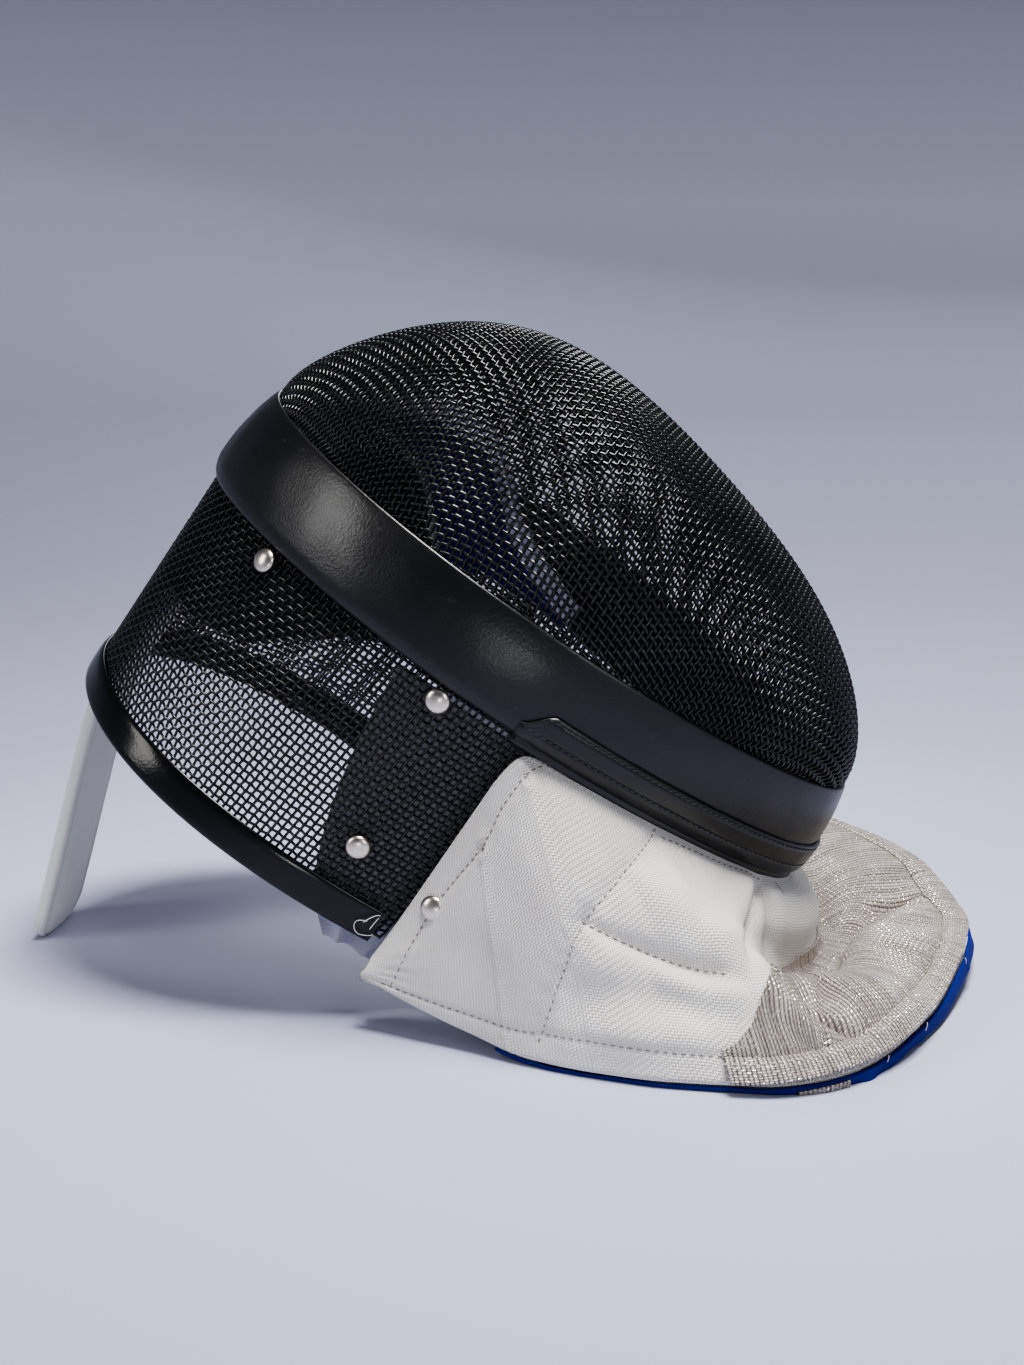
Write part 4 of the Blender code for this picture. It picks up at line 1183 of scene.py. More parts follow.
def fourth_corner(one, two, before):
    """The crossing one pitch from two others and beyond the third, on the dome."""
    small = 1e-5
    place = one + two - before
    for _ in range(12):
        wrong = np.stack([
            ((place - one) ** 2).sum(-1) - WIRE_PITCH**2,
            ((place - two) ** 2).sum(-1) - WIRE_PITCH**2,
            dome_level(place) * small,
        ], -1)
        slopes = np.stack([2 * (place - one), 2 * (place - two), dome_way(place) * small], -2)
        step = np.linalg.solve(slopes + np.eye(3) * 1e-14, wrong[..., None])[..., 0]
        length = np.linalg.norm(step, axis=-1, keepdims=True)
        place = place - step * np.minimum(1, WIRE_PITCH / 2 / np.maximum(length, 1e-12))
    fits = np.abs(np.linalg.norm(place - one, axis=-1) - WIRE_PITCH) < NET_MISFIT
    fits &= np.abs(np.linalg.norm(place - two, axis=-1) - WIRE_PITCH) < NET_MISFIT
    fits &= np.linalg.norm(place - before, axis=-1) > NET_LEAST_CORNER * WIRE_PITCH
    fits &= place[:, 0] > -FRONT_NET_BEHIND
    place[~fits] = np.nan
    return place


def half_net(column_points, row_points):
    """Crossings of a cloth of wires that keeps its pitch, from one column and one row of them."""
    rows, columns = len(column_points), len(row_points)
    net = np.full((rows, columns, 3), np.nan)
    net[:, 0], net[0] = column_points, row_points
    for total in range(2, rows + columns - 1):
        i = np.arange(max(1, total - columns + 1), min(rows - 1, total - 1) + 1)
        j = total - i
        one, two, before = net[i - 1, j], net[i, j - 1], net[i - 1, j - 1]
        known = ~np.isnan(one + two + before).any(-1)
        if known.any():
            net[i[known], j[known]] = fourth_corner(one[known], two[known], before[known])
    return net


def front_net():
    """Crossings of the face's wires. Rows run from chin to crown, columns from right to left."""
    start = onto_dome(np.array([[DOME_DEPTH, 0.0, NET_START_HEIGHT]]), 20)[0]
    side = walk_dome(start, (0, 1, 0), NET_TO_SIDE)
    upper = half_net(walk_dome(start, (0, 0, 1), NET_TO_CROWN), side)
    lower = half_net(walk_dome(start, (0, 0, -1), NET_TO_CHIN), side)
    left = np.concatenate([lower[:0:-1], upper])
    left[left[..., 0] < -FRONT_NET_BEHIND] = np.nan
    right = left[:, :0:-1] * (1, -1, 1)
    return np.concatenate([right, left], axis=1), len(lower) - 1


def rear_net():
    """Crossings of the wires over the crown and sides. Rows run from front to rear."""
    backs = np.arange(REAR_NET_FIRST, SHELL_DEPTH - TRIM_THICKNESS, WIRE_PITCH)
    angles = np.linspace(0, CROWN_TO_MESH_END, 600)
    rows = []
    for back in backs:
        run = length_along(surface(angles, back))
        rows.append(np.interp(np.arange(0, run[-1], WIRE_PITCH), run, angles))
    count = min(len(row) for row in rows)
    turns = np.array([row[:count] for row in rows])
    turns = np.concatenate([-turns[:, :0:-1], turns], axis=1)
    return turns, np.broadcast_to(backs[:, None], turns.shape)


def crimped_line(places, ways, up):
    """Two points a crossing, so that the wire is flat over it and slants between."""
    ahead = np.diff(places, axis=0)
    points = np.empty((2 * len(places), 3))
    points[0::2] = places
    points[1::2] = places
    points[2::2] -= ahead * WIRE_TOP
    points[1:-1:2] += ahead * WIRE_TOP
    return points, np.repeat(ways, 2, axis=0), np.repeat(up, 2)


def weave(name, net, ways, over, radius, finish, tree):
    """Wires along the rows of a net of crossings, over the others where over is positive."""
    lines = []
    for places, way, up in zip(net, ways, over):
        known = ~np.isnan(places[:, 0])
        edges = np.flatnonzero(np.diff(np.concatenate([[0], known.astype(int), [0]])))
        for first, last in zip(edges[::2], edges[1::2]):
            if last - first >= SHORTEST_WIRE:
                lines.append(crimped_line(places[first:last], way[first:last], up[first:last]))
    mesh = lines_mesh(name, *zip(*lines))
    return bake(name, mesh, tree, Radius=radius, Crimp=WIRE_CRIMP, Sides=WIRE_SIDES, Finish=finish)


def checker(shape):
    i, j = np.indices(shape)
    return np.where((i + j) % 2, 1.0, -1.0)


def make_front_wires(finish, tree):
    net, middle = front_net()
    known = ~np.isnan(net[..., 0])
    ways = np.zeros(net.shape)
    ways[known] = unit(dome_way(net[known]))
    over = checker(net.shape[:2])
    across = (lay(net - ways * MESH_WALL / 2), lay_way(ways), over)
    down = [np.swapaxes(values, 0, 1) for values in (*across[:2], -over)]
    half = net.shape[1] // 2
    for name, sides, part in (
        ("across_lower", across, slice(None, middle)), ("across_upper", across, slice(middle, None)),
        ("down_right", down, slice(None, half)), ("down_left", down, slice(half, None)),
    ):
        given = [values[part] for values in sides]
        wires = weave(f"face_wires_{name}", *given, FRONT_WIRE_RADIUS, finish, tree)
        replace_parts(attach(wires, "root"), "front_mesh")


def make_rear_wires(finish, tree):
    turns, backs = rear_net()
    inner = on_shell(turns, backs, -MESH_WALL / 2)
    ways = lay_way(unit(on_shell(turns, backs, 0.0) - inner))
    over = checker(turns.shape)
    around = (lay(inner), ways, over)
    along = [np.swapaxes(values, 0, 1) for values in (*around[:2], -over)]
    for name, given in (("around", around), ("along", along)):
        wires = weave(f"rear_wires_{name}", *given, REAR_WIRE_RADIUS, finish, tree)
        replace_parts(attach(wires, "root"), "rear_mesh")


# Bands

def band_out(share):
    return BAND_THICKNESS * smooth(share, *zip(*BAND_SECTION))


def ring_grid(angles, backs, outs):
    return lay(on_shell(angles[:, None], backs[None, :], outs))


def wavy(angles, backs, size):
    """Low waves of a soft band, so that its gloss isn't ruled with a straight edge."""
    a, b = angles[:, None], backs[None, :] / BAND_WIDTH
    waves = np.sin(9 * a + 2 * b) + 0.7 * np.sin(17 * a - 5 * b + 1) + 0.5 * np.sin(31 * a + 4 * b + 2)
    return size * waves * np.sin(np.pi * np.clip(b, 0, 1)) ** 0.7


def make_main_band(finish):
    """The bulged band, whose rows are closer at its round edges."""
    angles = np.linspace(0, 2 * math.pi, 320, endpoint=False)
    edge = np.array([0.0, 0.004, 0.014, 0.03])
    shares = np.concatenate([edge, np.linspace(0.05, 0.95, 26), 1 - edge[::-1]])
    rounding = np.clip(np.minimum(shares, 1 - shares) / BAND_EDGES, 0, 1)
    rounded = BAND_EDGE_LEAST + (1 - BAND_EDGE_LEAST) * np.sqrt(1 - (1 - rounding) ** 2)
    outs = CLEARANCE + band_out(shares) * rounded
    outs = outs[None, :] + wavy(angles, shares * BAND_WIDTH, BAND_WAVES)
    outer = ring_grid(angles, shares * BAND_WIDTH, outs)
    inner = ring_grid(angles, shares * BAND_WIDTH, np.full(outs.shape, CLEARANCE / 2))
    band = loft("band", *round_sections(outer, inner, flat_uv(outer)), finish, ring=True)
    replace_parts(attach(band, "root"), "main_band")


def make_strip(finish, thread, stitches):
    """The strip on the band's lower edge, cut slanting at its ends, and its two rows of stitches."""
    angles = with_edges(CROWN_TO_JAW, 2 * math.pi - CROWN_TO_JAW, 170, 0.02)
    first, last = BAND_WIDTH - STRIP_WIDTH, BAND_WIDTH + STRIP_OVERHANG
    backs = np.concatenate([
        first + ROUND_STEPS,
        np.linspace(first + STRIP_FLAT_FROM, last - STRIP_FLAT_FROM, 26),
        last - ROUND_STEPS[::-1],
    ])
    from_end = np.minimum(angles - angles[0], angles[-1] - angles)[:, None]
    cut = (1 - ease(from_end / STRIP_CUT_RUN)) * STRIP_WIDTH * STRIP_CUT
    share = (backs - first) / (last - first)
    backs = backs[None, :] + cut * (1 - share[None, :])
    under = CLEARANCE + STRIP_UNDER + band_out(np.minimum(1, backs / BAND_WIDTH))
    under = under + STRIP_LIFT * ease((backs - BAND_WIDTH) / STRIP_LIFT_RUN)
    edge = np.clip(np.minimum(backs - backs[:, :1], last - backs) / STRIP_EDGE, 0, 1)
    rise = STRIP_THICKNESS * (STRIP_EDGE_LEAST + (1 - STRIP_EDGE_LEAST) * np.sqrt(1 - (1 - edge) ** 2))
    rise = rise * (STRIP_END_LEAST + (1 - STRIP_END_LEAST) * ease(from_end / STRIP_END_RUN))
    rise = rise - SEWN_DEPTH * sum(hump(backs - first - row, SEWN_HALF_WIDTH) for row, _ in STRIP_ROWS)
    outs = under + rise + wavy(angles, backs[len(backs) // 2] - first, STRIP_WAVES)
    outer = lay(on_shell(angles[:, None], backs, outs))
    inner = lay(on_shell(angles[:, None], backs, under))
    strip = loft("lower_strip", *round_sections(outer, inner, flat_uv(outer)), finish)
    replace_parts(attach(strip, "root"), "bib_strip")
    lines = []
    for row, skipped in STRIP_ROWS:
        turns = np.linspace(angles[0] + skipped, angles[-1] - skipped, 260)
        out = CLEARANCE + band_out((first + row) / BAND_WIDTH) + STRIP_THICKNESS - STITCH_LIFT
        lines.append(lay(on_shell(turns, first + row, out)))
    sewing = sew("strip_stitches", lines, STRIP_STITCHES, thread, stitches)
    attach(sewing, "root")


def make_rear_trim(finish):
    """The section's points are how far they lie before the rim, and how high over the shell."""
    angles = with_edges(-CROWN_TO_JAW, CROWN_TO_JAW, 220, 0.02)
    under = -MESH_WALL - CLEARANCE
    top, low = CLEARANCE + TRIM_THICKNESS, under - TRIM_THICKNESS
    section = np.array([
        (TRIM_WIDTH, CLEARANCE), (TRIM_WIDTH + 0.0001, CLEARANCE + 0.0004),
        (TRIM_WIDTH - 0.0002, CLEARANCE + 0.0008), (TRIM_WIDTH - 0.0008, CLEARANCE + 0.0011),
        (0.0130, top - 0.0004), (0.0115, top - 0.0001), (0.0095, top), (0.0065, top), (0.0035, top),
        (0.0018, top - 0.0001), (0.0008, top - 0.0004), (0.0002, top - 0.0010), (0.0, 0.0003),
        (0.0, under + 0.0003), (0.0001, under - 0.0008), (0.0006, under - 0.0015), (0.0016, low),
        (0.0045, low), (TRIM_INNER_LEG - 0.0004, low), (TRIM_INNER_LEG, low + 0.0005),
        (TRIM_INNER_LEG, under), (0.0040, under), (TRIM_THICKNESS, under), (TRIM_THICKNESS, CLEARANCE),
    ])
    loops = lay(on_shell(angles[:, None], SHELL_DEPTH - section[None, :, 0], section[None, :, 1]))
    trim = loft("rear_rim_trim", loops, flat_uv(loops), finish, sharp=60)
    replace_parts(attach(trim, "root"), "rear_trim")


# Tongue

def bezier(corners, t):
    a, b, c, d = corners
    return (1 - t) ** 3 * a + 3 * t * (1 - t) ** 2 * b + 3 * t * t * (1 - t) * c + t**3 * d


def tongue_line():
    shoulder = math.asin(TONGUE_WIDTH / 2 * TONGUE_SHOULDER / SHELL_HALF_WIDTH)
    roof = outline(shoulder, SHELL_DEPTH)[2] - MESH_WALL - TRIM_THICKNESS - 2 * CLEARANCE
    level = roof - TONGUE_THICKNESS / 2 * TONGUE_SHOULDER
    start = lay((-SHELL_DEPTH + TONGUE_TUCK, 0, level))
    rim = lay((-SHELL_DEPTH - TRIM_THICKNESS, 0, level))
    tip = np.array([rim[0] - TONGUE_FOOT_BEHIND, rim[1], -TONGUE_SINK])
    bend = rim + unit(rim - start) * np.linalg.norm(tip - rim) * TONGUE_BEND
    return start, rim, bend, (tip + rim) / 2, tip


def make_tongue(finish, face):
    """A flat padded strip with a sewn border, whose rows are closer towards its round tip."""
    start, rim, bend, before, tip = tongue_line()
    shares = np.concatenate([np.linspace(0, 0.85, 44), 1 - 0.15 * (1 - np.linspace(0.06, 1, 20)) ** 1.6])
    line = [start + (rim - start) * share for share in np.linspace(0, 1, 8)[:-1]]
    line = np.array(line + [bezier((rim, bend, before, tip), share) for share in shares])
    run = length_along(line)
    corner = TONGUE_WIDTH * TONGUE_CORNER
    short = 1 - np.minimum(1.0, (run[-1] - run) / corner)
    half_width = TONGUE_WIDTH / 2 - corner * (1 - np.sqrt(1 - short**2))
    half_thick = TONGUE_THICKNESS / 2 * (1 - TONGUE_TIP_THINNER * short)
    ahead = unit(np.gradient(line, axis=0))
    across = np.array([0.0, 1.0, 0.0])
    up = np.cross(across, ahead)
    turn = np.linspace(0, 2 * math.pi, 48, endpoint=False)
    c, s = np.cos(turn), np.sin(turn)
    wide = np.sign(c) * np.abs(c) ** TONGUE_FLAT_SIDES
    high = np.sign(s) * np.abs(s) ** TONGUE_FLAT_FACES
    from_seam = np.clip((np.abs(wide) - TONGUE_SEAM) / TONGUE_SEAM_WIDTH, 0, 1)
    sewn = 1 - TONGUE_SEAM_DEPTH + TONGUE_SEAM_DEPTH * np.cos(from_seam * 2 * math.pi)
    waves = 1 + TONGUE_WAVES * np.sin(run[:, None] * 130 + 2 * wide) * np.abs(s)
    rows = line[:, None] + across * (half_width[:, None] * wide)[..., None]
    rows = rows + up[:, None] * (half_thick[:, None] * high * sewn * waves)[..., None]
    rows = over_floor(rows)
    tongue = loft("tongue_pad", rows, flat_uv(rows), finish, sharp=0)
    # The faces get their own tone of the sides' cloth: painted light and shade for how light falls on them.
    tongue.data.materials.append(face)
    middle = np.abs(wide + np.roll(wide, -1)) / 2 < TONGUE_FACE
    give_finish(tongue, np.tile(middle, len(rows) - 1), 1)
    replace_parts(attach(tongue, "root"), "tongue")


# Linings

def shell_places(angles, backs, outs):
    """Places on the shell in the worn frame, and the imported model's ways out from it."""
    worn = on_shell(angles, backs, outs)
    return worn, lay_way(unit(worn - on_shell(angles, backs, outs - PROBE)))


def make_brow_lining(finish, inner, binding):
    """The lining under the crown, with a pale binding on its front edge."""
    arounds = column(LINING_ROWS, "around")
    angles = with_edges(-CROWN_TO_JAW * arounds[-1], CROWN_TO_JAW * arounds[-1], 150, 0.03)
    share = np.abs(angles) / CROWN_TO_JAW
    rear = LINING_BEHIND_CROWN * smooth(share, arounds, column(LINING_ROWS, "rear"))
    front = LINING_BEHIND_CROWN * smooth(share, arounds, column(LINING_ROWS, "front"))
    steps = with_edges(0.0, 1.0, 46, 0.03)
    backs = rear[:, None] + (front - rear)[:, None] * steps[None, :]
    waves = np.sin(backs * 170 + angles[:, None] * 4) * np.sin(angles[:, None] * 11 + 1)
    outs = -MESH_WALL - LINING_GAP - LINING_WAVES * (1 + waves)
    worn, normals = shell_places(angles[:, None], backs, outs)
    pad = padded_sheet("brow_pad", lay(worn), normals, LINING_THICKNESS - LINING_THINNER, finish, inner)
    pad.data.materials.append(binding)
    from_front = np.abs(front - rear)[:, None] * (1 - steps)[None, :]
    outer, under = from_front < BROW_BINDING / 4, from_front < BROW_BINDING
    give_finish(pad, np.concatenate([outer, under[:, ::-1]], axis=1)[:-1].reshape(-1), 2)
    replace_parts(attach(pad, "root"), "brow_lining")


def make_side_linings(finish, inner):
    """The flaps inside the shell. Their outer side has a grey tone there, painted shade over the inner cloth;
    where they poke out behind, both their sides are of the inner cloth.
    """
    first = BAND_WIDTH + FLAP_BEHIND_BAND
    inside = -MESH_WALL - TRIM_THICKNESS - 3 * CLEARANCE
    shares = column(FLAP_ROWS, "back")
    rows = with_edges(0.0, FLAP_ROWS[-1].back, 40, 0.03)
    back = first + (SHELL_DEPTH - first) * np.minimum(rows, 1.0)
    beyond = (SHELL_DEPTH - first) * np.maximum(rows - 1.0, 0.0)
    upper = smooth(rows, shares, column(FLAP_ROWS, "upper"))
    lower = smooth(rows, shares, column(FLAP_ROWS, "lower"))
    across = with_edges(0.0, 1.0, 24, 0.06)
    degrees = upper[:, None] + (lower - upper)[:, None] * across[None, :]
    poking = ease((rows[:, None] - FLAP_SHOWS_FROM) / FLAP_FOLD_RUN)
    folds = (FLAP_FOLD + FLAP_FOLD_BEHIND * poking) * np.sin(rows[:, None] * 7 + across[None, :] * 6)
    folds = folds * np.sin(math.pi * np.clip(across[None, :], 0, 1)) ** 0.5
    for name, side in (("left", 1), ("right", -1)):
        outs = inside - np.abs(folds) - FLAP_GAP
        worn, normals = shell_places(side * np.radians(degrees), back[:, None], outs)
        worn[..., 0] -= beyond[:, None]
        thickness = FLAP_THICKNESS - FLAP_THINNER
        flap = padded_sheet(f"side_flap_{name}", lay(worn), normals, thickness, finish, inner)
        shown = np.repeat(rows[:-1] > FLAP_SHOWS_FROM, 2 * len(across))
        caps = np.ones(len(flap.data.polygons) - len(shown), bool)
        give_finish(flap, np.concatenate([shown, caps]), 1)
        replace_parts(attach(flap, "root"), f"side_lining_{name}")


# Bib pieces

def bib_alongs():
    """Rows along the bib, from its near rear corner to its far one."""
    first, last = BIB_FOLDS
    near = [BIB_RIM, np.arange(BIB_RIM_END, first, BIB_STEP), np.arange(first, last, BIB_FINE_STEP)]
    far = np.concatenate([BIB_RIM, np.linspace(BIB_RIM_END, BIB_FAR_END, BIB_FAR_ROWS)])
    return np.concatenate([*near, np.arange(last, 1.0, BIB_STEP), 2 - far[::-1]])


def front_alongs():
    """Rows along the silver front, from its near corner to its far one."""
    first, last = FRONT_CORNER, 2 - FRONT_CORNER
    return np.concatenate([
        first + FRONT_RIM,
        np.arange(first + FRONT_RIM_END, FRONT_FOLDS_END, FRONT_FINE_STEP),
        np.arange(FRONT_FOLDS_END, last - FRONT_RIM_END, FRONT_STEP),
        last - FRONT_RIM[::-1],
    ])


def make_bib(finish):
    """The white padded bib, pressed thin under the strip and down under the silver front."""
    alongs = bib_alongs()
    shares = with_edges(0.0, 1.0, 84, 0.03)
    downs = np.broadcast_to(shares, (len(alongs), len(shares)))
    places, normals = bib_grid(alongs, downs)
    thickness = (BIB_THICKNESS - BIB_THINNER) * (1 - TUCK_THINNER * tucked(alongs[:, None], downs))
    covered = ease((downs - front_seam(alongs)[:, None] - PRESSED_FROM) / PRESSED_FADE)
    covered = PRESSED_DEPTH * covered * (np.abs(1 - alongs) < 1 - FRONT_CORNER - FRONT_RIM_END)[:, None]
    places = places - normals * covered[..., None]
    pad = padded_sheet("white_bib", places, normals, thickness - covered, finish)
    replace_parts(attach(pad, "root"), "bib")


def make_bib_front(finish):
    """The silver front from its seam to the hem, with its area and UVs."""
    alongs = front_alongs()
    seam = front_seam(alongs)[:, None]
    places, normals = bib_grid(alongs, seam + (1 - seam) * with_edges(0.0, 1.0, 74, 0.03)[None, :])
    places = places + normals * (CLEARANCE + CLOTH_THICKNESS)
    sheet = padded_sheet("silver_front", places, normals, CLOTH_THICKNESS, finish)
    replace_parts(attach(sheet, "root"), "bib_front")
    corners = np.cross(np.diff(places, axis=0)[:, :-1], np.diff(places, axis=1)[:-1])
    return sheet, float(np.linalg.norm(corners, axis=2).sum()), flat_uv(places)


def make_hem(finish, thread, stitches):
    """The bound edge, thin where it meets the front and rolled at its rim, and its stitches."""
    alongs = front_alongs()
    hem_share = HEM_WIDTH / BIB_LENGTH
    share = with_edges(0.0, 1.0, 8, 0.2)
    downs = np.broadcast_to(1 - hem_share + hem_share * share, (len(alongs), len(share)))
    places, normals = bib_grid(alongs, downs)
    rolled = HEM_LEAST + (1 - HEM_LEAST) * ease(share / HEM_ROLL_FROM)
    thickness = np.broadcast_to(HEM_THICKNESS * rolled, downs.shape)
    top = (CLEARANCE + CLOTH_THICKNESS + HEM_GAP + thickness)[..., None]
    hem = padded_sheet("silver_hem", places + normals * top, normals, thickness, finish)
    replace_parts(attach(hem, "root"), "hem")
    sewn = len(share) // 3
    line = places[:, sewn] + normals[:, sewn] * (top[:, sewn] + HEM_GAP)
    sewing = sew("hem_stitches", [line], HEM_STITCHES, thread, stitches)
    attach(sewing, "root")
    return hem, sewing


def hem_frames(alongs):
    """The hem's edge, its way out and its normal."""
    downs = np.broadcast_to(np.array([1 - HEM_WIDTH / BIB_LENGTH, 1.0]), (len(alongs), 2))
    places, normals = bib_grid(alongs, downs)
    normal = unit(normals[:, -1])
    out = places[:, -1] - places[:, 0]
    out -= normal * (out * normal).sum(-1, keepdims=True)
    return places[:, -1], unit(out), normal


def edge_strip(name, alongs, corners, finish):
    """A strip along the hem's edge. Its corners are how far out of the edge they lie, and how high."""
    point, out, normal = hem_frames(alongs)
    corners = np.array(corners)
    rows = point[:, None] + out[:, None] * corners[None, :, :1] + normal[:, None] * corners[None, :, 1:]
    return loft(name, over_floor(rows), flat_uv(rows), finish, sharp=50)


def make_blue_edge(finish):
    """The blue border under the hem, leaning out towards the floor."""
    top, bottom = -BLUE_TUCK, -BLUE_DEPTH
    near, far = HEM_CLEARANCE, HEM_CLEARANCE + BLUE_THICKNESS
    corners = (
        (near, top), (near + 0.0003, top + 0.0003), (far - 0.0003, top + 0.0003), (far, top),
        (far + BLUE_SHOWS / 2, (top + bottom) / 2), (far + BLUE_SHOWS, bottom + 0.0006),
        (far + BLUE_SHOWS - 0.0004, bottom), (near + BLUE_SHOWS + 0.0004, bottom),
        (near + BLUE_SHOWS, bottom + 0.0006), (near + BLUE_SHOWS / 2, (top + bottom) / 2),
    )
    alongs = np.linspace(BLUE_FIRST, 2 - BLUE_FIRST, 240)
    edge = edge_strip("blue_border", alongs, corners, finish)
    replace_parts(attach(edge, "root"), "blue_edge")


def make_hem_tab(finish):
    near = HEM_CLEARANCE + BLUE_THICKNESS + CLEARANCE
    far = near + TAB_THICKNESS
    top, bottom = -BLUE_TUCK, -BLUE_TUCK - TAB_DEPTH
    lean = BLUE_SHOWS * TAB_DEPTH / (BLUE_DEPTH - BLUE_TUCK)
    corners = (
        (near, top), (far - 0.0003, top + 0.0002), (far, top - 0.0003), (far + lean / 2, (top + bottom) / 2),
        (far + lean, bottom + 0.0003), (far + lean - 0.0003, bottom), (near + lean, bottom),
        (near + lean / 2, (top + bottom) / 2),
    )
    half = TAB_LENGTH / BIB_LENGTH / BIB_LONGER / 2
    tab = edge_strip("silver_tab", np.linspace(TAB_ALONG - half, TAB_ALONG + half, 16), corners, finish)
    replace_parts(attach(tab, "root"), "hem_tab")


def bib_line(along, down, out):
    """Places this far out from the bib, on a line whose places along it rise."""
    places, normals = bib_grid(along, np.stack([down - STITCH_REACH, down, down + STITCH_REACH], -1))
    return places[:, 1] + normals[:, 1] * out


def seam_line(seam, side, count=120):
    """A sewn line as places on the bib, near or far."""
    seam = np.array(seam)
    run = np.concatenate([[0], np.cumsum(np.hypot(np.diff(seam[:, 0]) * BIB_LONGER, np.diff(seam[:, 1])))])
    along, down = (smooth(np.linspace(0, run[-1], count), run, values) for values in seam.T)
    along = along if side < 0 else 2 - along
    order = np.argsort(along)
    return bib_line(along[order], down[order], SEAM_STITCH_LIFT)


def make_bib_stitches(thread, stitches):
    lines = [seam_line(seam, side) for seam, _ in SEAM_DEPTHS for side in (-1, 1)]
    near = np.linspace(HEM_STITCHES_FROM, FRONT_CORNER - FRONT_RIM_END, 160)
    down = np.full(len(near), 1 - HEM_WIDTH / BIB_LENGTH)
    lines += [bib_line(along, down, STITCH_LIFT) for along in (near, (2 - near)[::-1])]
    sewing = sew("bib_stitches", lines, BIB_STITCHES, thread, stitches)
    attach(sewing, "root")


def make_loose_threads(thread, wires):
    """A loop of thread and two tufts at the trim's near end, and three cut ends under the hem."""
    on_trim = CLEARANCE + TRIM_THICKNESS
    turn = np.linspace(-0.45 * math.pi, 0.95 * math.pi, 40)
    angles = -CROWN_TO_JAW + LOOP_RADIUS / SHELL_HALF_WIDTH * (1.1 + np.cos(turn))
    backs = SHELL_DEPTH - LOOP_BEFORE_RIM + LOOP_LONGER * LOOP_RADIUS * np.sin(turn)
    outs = on_trim + LOOP_LIFT + LOOP_RISE * np.sin(turn * 1.5) ** 2
    lines = [lay(on_shell(angles, backs, outs))]
    run = np.linspace(0, 1, 12)
    for turned in TUFT_TURNS:
        angles = -CROWN_TO_JAW + 0.012 + 0.035 * run * turned
        backs = SHELL_DEPTH - TUFT_BEFORE_RIM + 0.005 * run**2 - 0.002 * turned
        lines.append(lay(on_shell(angles, backs, on_trim + TUFT_LIFT + TUFT_RISE * run)))
    for along, length in THREAD_ENDS:
        point, out, normal = (found[1] for found in hem_frames(along + np.array([-0.002, 0.0, 0.002])))
        start = point + out * (HEM_CLEARANCE + 0.0006)
        bend = out * 0.6 * length * run[:, None] - normal * length * run[:, None] ** 2
        lines.append(start + bend + np.array([0.0, 0.0, 0.0004]))
    flat = [np.zeros(line.shape) for line in lines]
    mesh = lines_mesh("loose_threads", lines, flat, [way[:, 0] for way in flat])
    threads = bake("loose_threads", mesh, wires,
                   Radius=LOOSE_THREAD_RADIUS, Crimp=0.0, Sides=6, Finish=thread)
    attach(threads, "root")


# Rivets

def turned_profile(profile, count):
    """A profile of (radius, height) turned round +Z, one row for each turn."""
    turn = np.linspace(0, 2 * math.pi, count, endpoint=False)[:, None]
    out, up = profile.T
    return np.stack([out * np.cos(turn), out * np.sin(turn), np.broadcast_to(up, (count, len(up)))], -1)


def close_pole(mesh):
    """Joins the points that meet at a turned piece's two poles."""
    bm = bmesh.new()
    bm.from_mesh(mesh)
    bmesh.ops.remove_doubles(bm, verts=bm.verts, dist=1e-7)
    bmesh.ops.delete(bm, geom=[edge for edge in bm.edges if not edge.link_faces], context="EDGES")
    bm.to_mesh(mesh)
    bm.free()


def make_rivets(finish, tree):
    loops = turned_profile(CAP_PROFILE * (RIVET_DIAMETER / 2, RIVET_HEIGHT), 32)
    cap = loft("cap", loops, flat_uv(loops), finish, ring=True, sharp=0)
    close_pole(cap.data)
    first = BAND_WIDTH + RIVET_DIAMETER / 2 + RIVET_BEHIND_BAND
    places, ways, nodes = [], [], []
    for side_name, side in (("left", 1), ("right", -1)):
        for name, degrees, share in RIVET_PLACES:
            angle, back = side * math.radians(degrees), first + (SHELL_DEPTH - first) * share
            base = lay(on_shell(angle, back, CLEARANCE))
            places.append(base)
            ways.append(unit(lay(on_shell(angle, back, CLEARANCE + PROBE)) - base))
            nodes.append(f"rivet_{name}_{side_name}")
        along = WING_RIVET[0] if side < 0 else 2 - WING_RIVET[0]
        downs = np.broadcast_to(WING_RIVET[1] + np.array([-0.01, 0, 0.01]), (3, 3))
        grid, normals = bib_grid(along + STITCH_REACH * np.array([-1, 0, 1]), downs)
        places.append(grid[1, 1] + normals[1, 1] * STITCH_LIFT)
        ways.append(normals[1, 1])
        nodes.append(f"rivet_wing_{side_name}")
    points = lines_mesh("rivet_points", np.array(places)[:, None], np.array(ways)[:, None])
    rivets = bake("rivets", points, tree, Cap=cap, Finish=finish)
    bpy.data.objects.remove(cap, do_unlink=True)
    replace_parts(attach(rivets, "root"), *nodes)


# Stage, light and camera

STAGE_FLAT = (0.001, 0.5, 0.9)
STAGE_BEND = 1.7
STAGE_RADIUS = STAGE_FLAT[-1] + STAGE_BEND
STAGE_HEIGHT = 3.2

# Colour of the paper by its distance as a share of the stage's radius: painted light and shade, darker out on
# the floor, lighter partway up the wall and darker at its top. The ramp has the first two already.
STAGE_PAINTED_LIGHT_COLOURS = (
    (0.0, (0.380, 0.395, 0.510)),
    (1.0, (0.24, 0.255, 0.33)),
    (0.09, (0.362, 0.376, 0.488)),
    (0.18, (0.280, 0.292, 0.385)),
    (0.36, (0.25, 0.262, 0.335)),
    (0.58, (0.24, 0.252, 0.325)),
    (0.75, (0.38, 0.398, 0.505)),
    (0.86, (0.35, 0.367, 0.465)),
)

